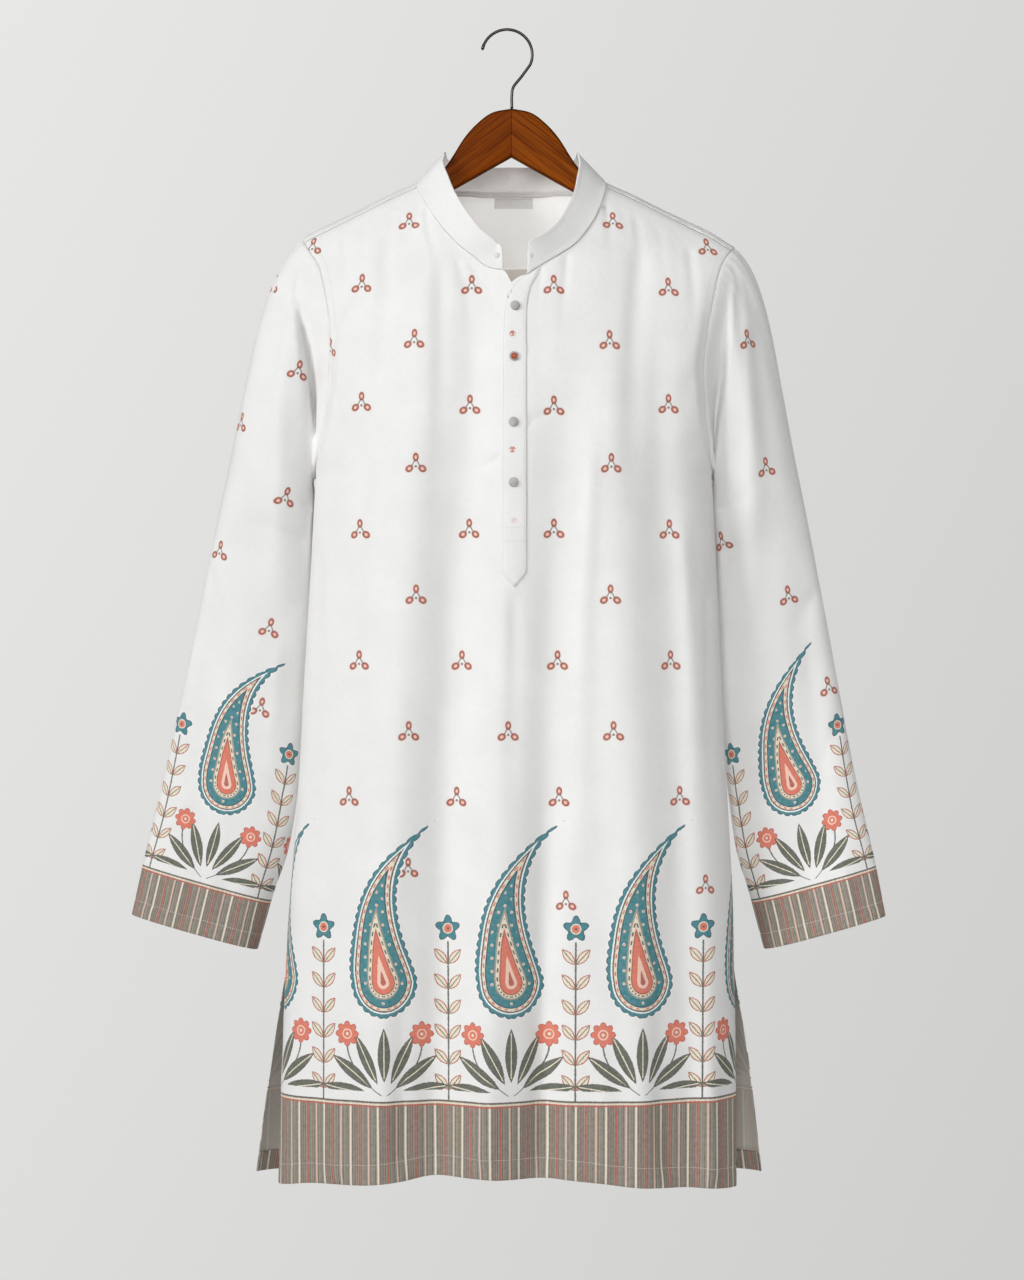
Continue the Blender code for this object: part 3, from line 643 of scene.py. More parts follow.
@dataclass
class Body:
    """The front and the back, which hang as one hollow form from the shoulders."""

    form: HollowForm = field(default_factory=HollowForm)
    shoulder_points: dict[Side, float] = field(
        default_factory=lambda: {Side.LEFT: 0.2107, Side.RIGHT: 0.2241}
    )
    collar_ends: dict[Side, float] = field(
        default_factory=lambda: {Side.LEFT: 0.0077, Side.RIGHT: 0.0155}
    )
    neck_side: float = 0.0966
    seam_drop: float = 0.007
    front_neck: Table = Table(
        "across left right",
        (0.0000, 0.2660, 0.2660), (0.0077, 0.2534, 0.2600), (0.0155, 0.2525, 0.2573),
        (0.0242, 0.2503, 0.2515), (0.0380, 0.2389, 0.2425), (0.0506, 0.2291, 0.2352),
        (0.0659, 0.2123, 0.2235), (0.0818, 0.1900, 0.2018), (0.0899, 0.1755, 0.1850),
        (0.0966, 0.1630, 0.1630),
    )
    back_neck: Table = Table(
        "across drop",
        (0.0000, 0.0500), (0.0300, 0.0375), (0.0450, 0.0300), (0.0700, 0.0190),
        (0.0850, 0.0095), (0.0920, 0.0020), (0.0966, -0.0070),
    )
    front_hem: Table = Table(
        "share down",
        (-1.00, 1.1725), (-0.85, 1.1664), (-0.68, 1.1651), (-0.46, 1.1605), (-0.30, 1.1557),
        (-0.05, 1.1577), (0.14, 1.1577), (0.31, 1.1606), (0.53, 1.1663), (0.76, 1.1698),
        (1.00, 1.1755),
    )
    back_flare: Table = Table(
        "down left right",
        (0.900, 0.0, 0.0), (0.947, 0.0, 0.0), (1.022, 0.009, 0.011), (1.098, 0.018, 0.021),
        (1.168, 0.026, 0.029),
    )
    neck_columns: tuple[float, ...] = (0, 0.14, 0.30, 0.47, 0.64, 0.79, 0.91, 1)
    back_neck_columns: tuple[float, ...] = (0.20, 0.40, 0.58, 0.74, 0.87, 0.95, 1)
    shoulder_columns: tuple[float, ...] = (0.16, 0.34, 0.52, 0.68, 0.82, 0.92, 0.975, 1)
    front_armhole_rows: tuple[float, ...] = (
        0, 0.04, 0.10, 0.17, 0.26, 0.36, 0.47, 0.58, 0.69, 0.79, 0.88, 0.95, 1,
    )
    back_armhole_drops: tuple[float, ...] = (
        -0.007, -0.003, -0.0008, 0.0008, 0.003, 0.0075, 0.015, 0.027,
        0.045, 0.070, 0.100, 0.130, 0.160, 0.190, 0.215, 0.232, 0.2475,
    )
    columns_between: int = 5
    front_rows_between: int = 5
    back_rows_between: int = 3
    side_rows: int = 104
    slit_rows: int = 48
    hem_depth: float = 0.0190
    slit_hem: float = 0.0080
    armhole_stitch: float = 0.0075
    shoulder_stitch: float = 0.0020
    rolls: tuple[float, float] = (0.014, 0.007)
    roll_start: float = 0.240
    roll_width: float = 0.013
    roll_onset: float = 0.14
    roll_end: float = 0.012
    layers: tuple[Layer, ...] = ((0.0016, (13.0, 3.2)), (0.00045, (44.0, 8.0)))
    side_ramp: float = 0.010
    top_ramp: float = 0.006
    slit_pull_width: float = 0.0020
    pull_waves: tuple[float, float] = (95.0, 95.0)
    groove: float = 0.0005
    side_grooves: tuple[float, float] = (0.00015, 0.0005)
    top_groove: float = 0.0002
    front_creases: Creases = creases(
        # from the neck point and the shoulder seam on the left
        (-0.0926, 0.1780, -0.1090, 0.2350, 0.001, 0.0046, -0.0026),
        (-0.0870, 0.1830, -0.0690, 0.2550, -0.003, 0.0060, -0.0022),
        (-0.1180, 0.1900, -0.1290, 0.2400, 0.000, 0.0036, -0.0014),
        (-0.1270, 0.2050, -0.1350, 0.3900, 0.004, 0.0105, -0.0026),
        (-0.1480, 0.2030, -0.1510, 0.2480, 0.000, 0.0042, -0.0009),
        (-0.1690, 0.2120, -0.1730, 0.2850, 0.002, 0.0065, -0.0014),
        (-0.1860, 0.3230, -0.1440, 0.2600, -0.003, 0.0070, -0.0034),
        (-0.1840, 0.3750, -0.1480, 0.3350, 0.003, 0.0080, -0.0020),
        (-0.1880, 0.4250, -0.1450, 0.4100, 0.004, 0.0110, -0.0013),
        (-0.0720, 0.2350, -0.0780, 0.5600, 0.004, 0.0140, -0.0034),
        (-0.0560, 0.2380, -0.0390, 0.3150, 0.002, 0.0060, -0.0016),
        (-0.0420, 0.2480, -0.0190, 0.2760, 0.000, 0.0036, -0.0016),
        (-0.0240, 0.2600, -0.0130, 0.3100, 0.001, 0.0042, -0.0009),
        # the same on the right
        (0.0945, 0.1790, 0.0990, 0.2300, 0.001, 0.0042, -0.0026),
        (0.1140, 0.1880, 0.1165, 0.2250, 0.000, 0.0032, -0.0013),
        (0.1250, 0.1930, 0.1310, 0.2500, 0.001, 0.0050, -0.0024),
        (0.1300, 0.2200, 0.1210, 0.5000, -0.004, 0.0135, -0.0032),
        (0.1500, 0.2050, 0.1535, 0.2650, 0.000, 0.0042, -0.0010),
        (0.1800, 0.2250, 0.1840, 0.3050, 0.001, 0.0065, -0.0020),
        (0.1980, 0.3350, 0.1560, 0.3900, 0.003, 0.0100, -0.0016),
        (0.1970, 0.4150, 0.1500, 0.4450, 0.004, 0.0120, -0.0015),
        (0.0560, 0.2330, 0.0480, 0.3100, 0.001, 0.0060, -0.0018),
        (0.0290, 0.2480, 0.0240, 0.2950, 0.001, 0.0040, -0.0010),
        # beside and below the placket
        (0.0155, 0.3360, 0.0420, 0.3290, 0.001, 0.0040, -0.0013),
        (0.0155, 0.4080, 0.0520, 0.3960, 0.002, 0.0050, -0.0022),
        (-0.0105, 0.4400, -0.0420, 0.4560, 0.002, 0.0050, -0.0017),
        (0.0030, 0.5700, -0.0060, 0.8200, 0.003, 0.0110, -0.0022),
        # long soft ones that uneven weight leaves further down
        (-0.1500, 0.4500, -0.1780, 0.9000, 0.006, 0.0130, 0.0026),
        (-0.1950, 0.5200, -0.2050, 0.9400, 0.003, 0.0100, -0.0024),
        (0.0820, 0.4200, 0.0700, 0.8200, -0.004, 0.0120, 0.0022),
        (0.1700, 0.4900, 0.1850, 0.9200, 0.004, 0.0110, 0.0022),
        (0.1980, 0.5600, 0.2060, 0.8800, -0.002, 0.0080, -0.0020),
        # and those that start at the hem
        (-0.1760, 1.1750, -0.1680, 0.9000, 0.003, 0.0190, 0.0046),
        (-0.1080, 1.1650, -0.1000, 0.8200, 0.004, 0.0160, -0.0050),
        (-0.0300, 1.1600, -0.0280, 0.8800, -0.004, 0.0170, 0.0044),
        (0.0320, 1.1600, 0.0380, 0.8000, 0.003, 0.0140, -0.0050),
        (0.0980, 1.1650, 0.0900, 0.9300, 0.002, 0.0170, 0.0042),
        (0.1560, 1.1700, 0.1500, 0.8400, 0.004, 0.0140, -0.0046),
        (0.2020, 1.1750, 0.1980, 0.9800, -0.002, 0.0120, 0.0034),
    )
    back_creases: Creases = creases(
        (-0.0960, 0.1650, -0.0860, 0.2500, 0.002, 0.0050, -0.0017),
        (-0.1250, 0.1850, -0.1300, 0.2600, 0.001, 0.0048, -0.0013),
        (-0.1600, 0.2050, -0.1540, 0.3300, 0.002, 0.0080, -0.0018),
        (-0.1850, 0.3300, -0.1250, 0.3000, -0.004, 0.0105, -0.0026),
        (-0.1870, 0.4000, -0.1300, 0.3900, 0.006, 0.0120, -0.0022),
        (-0.0500, 0.2000, -0.0620, 0.3600, 0.002, 0.0090, -0.0016),
        (0.0970, 0.1680, 0.0900, 0.2400, -0.001, 0.0046, -0.0018),
        (0.1280, 0.1880, 0.1350, 0.2750, 0.001, 0.0052, -0.0012),
        (0.1650, 0.2080, 0.1600, 0.3200, -0.002, 0.0085, -0.0017),
        (0.1960, 0.3400, 0.1350, 0.3050, 0.005, 0.0110, -0.0024),
        (0.1960, 0.4150, 0.1300, 0.4050, -0.004, 0.0115, -0.0020),
        (0.0450, 0.2050, 0.0560, 0.3800, 0.003, 0.0090, -0.0015),
        (0.0000, 0.1750, 0.0040, 0.5200, 0.004, 0.0160, 0.0024),
        (-0.1750, 0.4600, -0.1950, 0.8800, 0.004, 0.0120, -0.0030),
        (0.1750, 0.4700, 0.1900, 0.9000, -0.004, 0.0120, -0.0028),
        (-0.1830, 1.1700, -0.1750, 0.9300, 0.003, 0.0180, 0.0044),
        (-0.1150, 1.1700, -0.1050, 0.7900, 0.004, 0.0160, -0.0052),
        (-0.0420, 1.1700, -0.0380, 0.9000, -0.003, 0.0180, 0.0042),
        (0.0350, 1.1700, 0.0400, 0.7600, 0.004, 0.0150, -0.0050),
        (0.1050, 1.1700, 0.0980, 0.9100, 0.002, 0.0180, 0.0044),
        (0.1750, 1.1700, 0.1650, 0.8300, 0.004, 0.0150, -0.0046),
    )
    motifs: Table = motifs(
        (0.2046, -0.1024, 0), (0.2046, 0.1003, 0), (0.2262, -0.2025, 0), (0.2266, 0.1992, 0),
        (0.2693, -0.1513, 0), (0.2694, 0.1573, 0), (0.2717, -0.0414, 0), (0.2718, 0.0414, 0),
        (0.3268, -0.0963, 0), (0.3269, 0.0992, 0), (0.3313, -0.1897, 0), (0.3900, 0.1566, 0),
        (0.3901, -0.1505, 0), (0.3915, -0.0413, 0), (0.3915, 0.0413, 0), (0.4498, -0.0961, 0),
        (0.4500, 0.0990, 0), (0.5150, 0.1566, 0), (0.5152, -0.1503, 0), (0.5157, -0.0413, 0),
        (0.5157, 0.0413, 0), (0.5812, -0.0962, 0), (0.5813, 0.0990, 0), (0.6480, -0.0502, 0),
        (0.6480, 0.0453, 0), (0.6481, -0.1542, 0), (0.6481, 0.1575, 0), (0.7175, -0.0025, 0),
        (0.7176, 0.1030, 0), (0.7178, -0.1031, 0), (0.7842, -0.0542, 0), (0.7843, 0.0483, 0),
        (0.7849, -0.1603, 0), (0.7851, 0.1675, 0), (0.8533, -0.1021, 0), (0.8732, 0.1934, 0),
        (0.8856, 0.0532, 0),
    )

    def on_neck(self, across: Array) -> Array:
        """Whether each place is on the neck's edge and not on the shoulder seam."""
        return np.abs(across) < self.neck_side - 1e-6

    def shoulder_point(self, across: Array) -> Array:
        """The shoulder point on each place's side."""
        left, right = self.shoulder_points[Side.LEFT], self.shoulder_points[Side.RIGHT]
        return np.where(np.asarray(across) < 0, left, right)

    def columns(self, neck: tuple[float, ...], starts: dict[Side, float]) -> tuple[Array, Array]:
        """Where the columns of a panel meet its top edge, from left to right.

        Args:
            neck: Shares of the way out along the neck's edge.
            starts: How far from the middle the neck's edge starts on either side.

        Returns:
            The places across the top edge and their shares of the half width.
        """
        sides = {}
        for side, start in starts.items():
            inner = start + (self.neck_side - start) * np.array(neck)
            reach = self.shoulder_points[side] - self.neck_side
            outer = self.neck_side + reach * np.array(self.shoulder_columns)
            sides[side] = np.concatenate([inner, outer])
        top = np.concatenate([-sides[Side.LEFT][::-1], [0.0], sides[Side.RIGHT]])
        top = finer(top, self.columns_between)
        return top, top / self.shoulder_point(top)

    def rows(
        self, top_drop: Array, armhole: Array, hem_down: Array, share: Array, flared: bool
    ) -> Iterator[tuple[Array, Array, Array | float]]:
        """Each row's places: down the armhole, then the side seam, then the slit.

        Args:
            top_drop: Each column's drop at the top edge.
            armhole: Shares of the way down the armhole at which there are rows.
            hem_down: Each column's level at the hem.
            share: Each column's share of the half width.
            flared: Whether the edge flares out below the slit's top.

        Yields:
            The row's places across, their drops and their flare.
        """
        widths = self.form.half_width

        def at_edges(values: Array) -> Array:
            """The value at the panel's edge on each column's side."""
            return np.where(share < 0, values[0], values[-1])

        under_width = widths.by_side(np.full(share.shape, UNDERARM), share)
        under_drop = UNDERARM - self.form.shoulder_down(share * under_width)
        corner_down = self.form.shoulder_down(self.shoulder_point(share))
        corner_drop = at_edges(top_drop)
        for f in armhole:
            edge = corner_drop + (at_edges(under_drop) - corner_drop) * f
            across = share * widths.by_side(corner_down + np.abs(edge), share)
            yield across, top_drop + (under_drop - top_drop) * f, 0.0
        for start, end, count in (
            (UNDERARM, np.full(share.shape, SLIT_TOP), self.side_rows),
            (SLIT_TOP, hem_down, self.slit_rows),
        ):
            for f in np.arange(1, count + 1) / count:
                edge = start + (at_edges(end) - start) * f
                flare = self.back_flare.by_side(edge, share) if flared else 0.0
                across = share * (widths.by_side(edge, share) + flare)
                yield across, start + (end - start) * f - self.form.shoulder_down(across), flare

    @property
    def front_armhole_count(self) -> int:
        """How many of the front's rows run down its armhole."""
        return (len(self.front_armhole_rows) - 1) * self.front_rows_between + 1

    @property
    def back_armhole_count(self) -> int:
        """How many of the back's rows run down its armhole."""
        return (len(self.back_armhole_drops) - 1) * self.back_rows_between + 1

    @cached_property
    def front_points(self) -> Array:
        """The front's points, before creases are laid into it."""
        top, share = self.columns(self.neck_columns, self.collar_ends)
        neck_drop = self.front_neck.by_side(np.abs(top), top) - self.form.shoulder_down(top)
        top_drop = np.where(self.on_neck(top), neck_drop, self.seam_drop + SEAM)
        armhole = finer(self.front_armhole_rows, self.front_rows_between)
        rows = self.rows(top_drop, armhole, self.front_hem.read("down", share), share, False)
        points = np.stack([self.form.point(a, -drop, flare) for a, drop, flare in rows])
        points[..., 1] -= SEAM / 2
        from_side = from_sides(walked(points, axis=1))
        level = -points[:, :1, 2]
        rolled = eased((level - self.roll_start) / self.roll_onset)
        rolled = rolled * eased((UNDERARM - level) / self.roll_end)
        roll = np.where(points[..., 0] < 0, *self.rolls)
        points[..., 1] += roll * rolled * (1 - eased(from_side / self.roll_width))
        return points

    @cached_property
    def back_points(self) -> Array:
        """The back's points, before creases are laid into it."""
        starts = {Side.LEFT: 0.0, Side.RIGHT: 0.0}
        top, share = self.columns(self.back_neck_columns, starts)
        neck_drop = self.back_neck.read("drop", np.abs(top))
        top_drop = np.where(self.on_neck(top), neck_drop, -self.seam_drop)
        drops = finer(self.back_armhole_drops, self.back_rows_between)
        armhole = (drops - drops[0]) / (drops[-1] - drops[0])
        rows = self.rows(top_drop, armhole, np.full(share.shape, BACK_HEM), share, True)
        points = np.stack([self.form.point(a, drop, flare) for a, drop, flare in rows])
        points[..., 1] += SEAM / 2
        return points

    @cached_property
    def front(self) -> ClothGrid:
        """The front's grid, with its creases and its turned-up hem."""
        return self.dressed(self.front_points, self.front_creases, FRONT_SEED)

    @cached_property
    def back(self) -> ClothGrid:
        """The back's grid, with its creases and its turned-up hem."""
        return self.dressed(self.back_points, self.back_creases, BACK_SEED)

    def stand_out(self, across: Array, level: Array, creases: Creases, seed: float) -> Array:
        """How far creases and soft unevenness move the cloth out.

        Args:
            across: Places across the garment.
            level: Their heights, negative below the rail.
            creases: The panel's creases.
            seed: Picks the panel's unevenness.

        Returns:
            One height for each place.
        """
        places = np.stack([across, level], -1)
        return rippled(creases.height(across, -level), places, self.layers, seed)

    def dressed(self, points: Array, creases: Creases, seed: float) -> ClothGrid:
        """Lays creases, hems and seam grooves into a panel and maps it flat.

        Args:
            points: The panel's points.
            creases: Its creases.
            seed: Picks its unevenness.

        Returns:
            The panel's grid.
        """
        middle = points.shape[1] // 2
        from_side = from_sides(walked(points, axis=1))
        level = points[..., 2]
        round_body = walked(points[..., :2], axis=1)
        round_body = round_body - round_body[:, middle : middle + 1]
        flat = np.stack([round_body, level + PRINT_TOP], axis=-1)
        from_top = walked(points, axis=0)
        from_hem = from_top[-1:] - from_top
        height = self.stand_out(points[..., 0], level, creases, seed)
        height *= eased(from_side / self.side_ramp) * eased(from_top / self.top_ramp)
        sewn = level > -SLIT_TOP
        depth = np.where(points[..., 0] < 0, *self.side_grooves)
        beside = np.where(sewn, depth * bell(from_side, GROOVE_WIDTH), 0.0)
        height -= np.maximum(beside, self.top_groove * bell(from_top, GROOVE_WIDTH))
        stitched = bell(from_hem - self.hem_depth, PULL_WIDTH)
        slit = bell(from_side - self.slit_hem, self.slit_pull_width) * ~sewn
        pull = pulled(points[..., [0, 2]], self.pull_waves, seed + 2)
        height -= pull * np.maximum(stitched, slit)
        return turned_up(ClothGrid(points, flat).raised(height), self.hem_depth)

    def build(self, outer: bpy.types.Material, inner: bpy.types.Material) -> None:
        """Makes the front and the back as pieces.

        Args:
            outer: The finish of the cloth's outer side.
            inner: That of its inner side.
        """
        for name, grid, size, flip in (
            ("front", self.front, (0.520, 1.080), False),
            ("back", self.back, (0.540, 1.110), True),
        ):
            motifs = motif_frames(grid, self.motifs, mirrored=flip)
            piece = Sheet(f"{name}_cloth", grid, outer, inner, flip=flip, motifs=motifs).build()
            finish_piece(piece, "printed_cotton", name)


HEM_TURN = (36, 72, 108, 144)  # degrees round the fold
HEM_ROWS = 8


def turned_up(grid: ClothGrid, depth: float, closed: bool = False) -> ClothGrid:
    """The grid with its last row turned up inside as a hem.

    Args:
        grid: The cloth, its rows running down to the edge.
        depth: How far up the hem reaches.
        closed: Whether the grid closes on itself.

    Returns:
        The grid with the hem's rows added.
    """
    points, flat = grid.points, grid.flat
    normal = grid.normals(closed)
    apart = 2 * CLOTH_WALL + HEM_FOLD
    lengths = walked(points, axis=0)
    from_edge = (lengths[-1:] - lengths).mean(axis=1)
    edge, inwards = points[-1], -normal[-1]
    downward = unit(points[-1] - points[-2])
    added = []
    for angle in np.radians(HEM_TURN):
        down, across = math.sin(angle), 1 - math.cos(angle)
        added.append(edge + (downward * down + inwards * across) * apart / 2)
    for step in np.linspace(0, depth, HEM_ROWS):
        at = np.interp(step, from_edge[::-1], np.arange(len(points))[::-1])
        low = int(math.floor(at))
        share = at - low
        high = min(low + 1, len(points) - 1)
        place = points[low] * (1 - share) + points[high] * share
        out = unit(normal[low] * (1 - share) + normal[high] * share)
        added.append(place - out * (apart + LAID * step / depth))
    new = np.stack(added)
    steps = np.diff(np.concatenate([points[-1:], new]), axis=0)
    walk = np.cumsum(np.linalg.norm(steps, axis=-1).mean(axis=1))
    lower = np.repeat(flat[-1:], len(new), axis=0)
    lower[..., 1] -= walk[:, None]
    return ClothGrid(np.concatenate([points, new]), np.concatenate([flat, lower]))


@dataclass
class Collar:
    """The standing band round the neck, whose ends round off at the front."""

    body: Body
    lean: Table = Table(
        "share inward rise left right",
        (0.00, -0.0010, 0.0265, 0.007, -0.001), (0.06, 0.0110, 0.0235, 0.006, -0.007),
        (0.12, 0.0184, 0.0183, 0.003, -0.009), (0.20, 0.0217, 0.0160, 0.000, -0.008),
        (0.28, 0.0232, 0.0167, -0.003, -0.006), (0.40, 0.0260, 0.0175, -0.004, -0.005),
        (0.47, 0.0275, 0.0200, -0.004, -0.004), (0.57, 0.0269, 0.0285, -0.004, -0.004),
        (0.80, 0.0120, 0.0290, -0.004, -0.004), (1.00, 0.0000, 0.0295, -0.005, -0.005),
    )
    round_share: float = 0.05
    end_height: float = 0.75
    rows: int = 30
    foot_gap: float = 0.0001
    wall: float = 0.0016
    slack: float = 0.0007
    right_slack: float = 1.7
    fine_share: float = 0.35
    foot_share: float = 0.25
    wave_height: float = 0.03
    puff: float = 0.0002
    puff_width: float = 0.004
    pull: float = 0.00025
    stitch_inset: float = 0.0026

    @cached_property
    def grid(self) -> ClothGrid:
        """The band's grid, from its foot on the neck edge up to its top."""
        front, back = self.body.front_points[0], self.body.back_points[0]
        parts, outer = self.body.columns_between, len(self.body.shoulder_columns)
        start, reach = parts * outer, parts * (len(self.body.neck_columns) - 1) + 1
        left = front[start : start + reach][::-1]
        right = front[::-1][start : start + reach]
        behind = back[start : len(back) - start]
        foot = np.concatenate([left[:-1], behind, right[1:]])
        walk = np.concatenate([[0.0], np.cumsum(np.linalg.norm(np.diff(foot, axis=0), axis=1))])
        middle = len(left) - 1 + len(behind) // 2
        on_left = np.arange(len(foot)) <= middle
        unwalked = walk[-1] - walk
        share = np.where(on_left, walk / walk[middle], unwalked / unwalked[middle])
        inward, rise = (self.lean.read(name, share) for name in ("inward", "rise"))
        backward = self.lean.by_side(share, np.where(on_left, -1.0, 1.0))
        offset = np.stack([np.where(on_left, inward, -inward), backward, rise], axis=-1)
        rounding = np.sqrt(1 - (1 - np.clip(share / self.round_share, 0, 1)) ** 2)
        height = self.end_height + (1 - self.end_height) * rounding
        foot = foot + unit(offset) * self.foot_gap
        up = np.linspace(0, 1, self.rows + 1)
        points = foot + offset * (height * up[:, None])[..., None]
        sides, rises = np.broadcast_arrays(walk, up[:, None] * self.wave_height)
        flat = np.stack([sides - walk[middle], walked(points, axis=0)], -1)
        places = np.stack([sides, rises], -1)
        uneven, fine = ripple(places, (26.0, 30.0), 5.0), ripple(places, (75.0, 60.0), 6.0)
        held = eased(up / self.foot_share)[:, None]
        from_foot, from_top = flat[..., 1], flat[-1:, :, 1] - flat[..., 1]
        from_edge = np.minimum(np.minimum(from_foot, from_top), from_sides(sides))
        puffed = self.puff * eased(from_edge / self.puff_width)
        stitched = self.pull * bell(from_edge - self.stitch_inset, BAND_PULL_WIDTH)
        looser = np.where(on_left, 1.0, self.right_slack) * held * self.slack
        bulge = looser * (uneven + self.fine_share * fine)
        out = (bulge + puffed - stitched)[..., None]
        return ClothGrid(points - facing(points) * out, flat)

    def build(self, cloth: bpy.types.Material) -> None:
        """Makes the band as a piece.

        Args:
            cloth: Its finish.
        """
        upside = ClothGrid(self.grid.points[::-1], self.grid.flat[::-1])
        piece = Sheet("collar_band", upside, cloth, cloth, wall=self.wall).build()
        finish_piece(piece, "plain_cotton", "collar")


@dataclass
class Placket:
    """The strip down the front's opening, closed to its point, with its edges stitched."""

    body: Body
    side: float = 0.5565
    point: float = 0.5703
    top_inset: float = 0.0015
    edges: Table = Table(
        "down left right",
        (0.2510, 0.0155, 0.0285), (0.2573, 0.0155, 0.0255), (0.2615, 0.0100, 0.0235),
        (0.2660, 0.0040, 0.0210), (0.2700, 0.0018, 0.0188), (0.2844, -0.0064, 0.0158),
        (0.2933, -0.0080, 0.0147), (0.3100, -0.0094, 0.0145), (0.3400, -0.0100, 0.0145),
        (0.5703, -0.0100, 0.0145),
    )
    places: int = 26
    rows: int = 230
    stitch_inset: float = 0.0024
    point_share: float = 1.3
    rows_down: float = 1.15
    rounds: int = 6
    top_ramp: float = 0.006
    puff: float = 0.00022
    puff_width: float = 0.0035
    point_inset: float = 0.0015
    cross_rows: tuple[float, ...] = (0.5112, 0.5251)

    @cached_property
    def grid(self) -> ClothGrid:
        """The strip's grid, which follows the front's creases."""
        place = np.linspace(0, 1, self.places + 1)
        rows, downs = [], []
        for f in np.linspace(0, 1, self.rows + 1) ** self.rows_down:
            across = np.full(place.shape, 0.01)  # a first guess, which each round brings nearer
            for _ in range(self.rounds):
                neck = self.body.front_neck.by_side(np.abs(across), across) + self.top_inset
                bottom = self.point - (self.point - self.side) * np.abs(2 * place - 1)
                down = neck + (bottom - neck) * f
                left, right = (self.edges.read(name, down) for name in ("left", "right"))
                across = left + (right - left) * place
            drop = self.body.form.shoulder_down(across) - down
            rows.append(self.body.form.point_out(across, drop, CLOTH_WALL + LAID))
            downs.append(down)
        points = np.stack(rows)
        points[..., 1] -= SEAM / 2
        across, level = points[..., 0], points[..., 2]
        lengths, widths = walked(points, axis=0), walked(points, axis=1)
        from_end = lengths[-1:] - lengths
        from_edge = np.minimum(from_sides(widths), from_end + self.point_inset)
        height = self.body.stand_out(across, level, self.body.front_creases, FRONT_SEED)
        height = height * eased((lengths + self.top_inset) / self.top_ramp)
        height += self.puff * eased(from_edge / self.puff_width)
        height -= self.puff * bell(from_edge - self.stitch_inset, BAND_PULL_WIDTH)
        return ClothGrid(points, np.stack([widths, level + PRINT_TOP], -1)).raised(height)

    def build(self, cloth: bpy.types.Material) -> None:
        """Makes the strip as a piece.

        Args:
            cloth: Its finish.
        """
        piece = Sheet("placket_strip", self.grid, cloth, cloth).build()
        finish_piece(piece, "plain_cotton", "placket")


@dataclass
class InsideBack:
    """The facing inside the back's yoke and the bare label at its neck."""

    body: Body
    half_width: float = 0.080
    bottom: float = 0.2360
    top_inset: float = 0.0002
    label_edges: tuple[float, float] = (-0.0182, 0.0224)
    label_inset: float = 0.0015
    label_height: float = 0.0095
    label_wall: float = 0.0005
    rows: int = 56
    columns: int = 81
    label_rows: int = 13
    label_columns: int = 41

    def patch(self, across: Array, top: Array, bottom: Array, rows: int, depth: float) -> ClothGrid:
        """A grid laid inside the back.

        Args:
            across: Each column's place across.
            top: Its drop at the upper edge.
            bottom: Its drop at the lower edge.
            rows: How many rows there are.
            depth: How deep inside the back's outer side it lies.

        Returns:
            The grid.
        """
        steps = np.linspace(0, 1, rows)
        drops = top + (bottom - top) * steps[:, None]
        points = np.stack([self.body.form.point_out(across, drop, -depth) for drop in drops])
        points[..., 1] += SEAM / 2
        level = points[..., 2]
        from_neck = drops - self.body.back_neck.read("drop", np.abs(across))
        height = self.body.stand_out(points[..., 0], level, self.body.back_creases, BACK_SEED)
        height = height * eased(from_neck / self.body.top_ramp)
        height -= self.body.groove * bell(from_neck, GROOVE_WIDTH)
        return ClothGrid(points, np.stack([walked(points, axis=1), level], -1)).raised(height)

    def build(self, cloth: bpy.types.Material, tape: bpy.types.Material) -> None:
        """Makes the facing and the label as pieces.

        Args:
            cloth: The facing's finish.
            tape: The label's finish.
        """
        inside = CLOTH_WALL + 2 * LAID
        across = np.linspace(-self.half_width, self.half_width, self.columns)
        top = self.body.back_neck.read("drop", np.abs(across)) + self.top_inset
        bottom = self.bottom - self.body.form.shoulder_down(across)
        grid = self.patch(across, top, bottom, self.rows, inside)
        yoke = Sheet("yoke_facing_cloth", grid, cloth, cloth, flip=True).build()
        across = np.linspace(*self.label_edges, self.label_columns)
        top = self.body.back_neck.read("drop", np.abs(across)) + self.label_inset
        depth = inside + CLOTH_WALL + 2 * LAID
        grid = self.patch(across, top, top + self.label_height, self.label_rows, depth)
        label = Sheet("neck_label_tape", grid, tape, tape, wall=self.label_wall, flip=True).build()
        finish_piece(yoke, "plain_cotton", "yoke_facing")
        finish_piece(label, "label_tape", "neck_label")


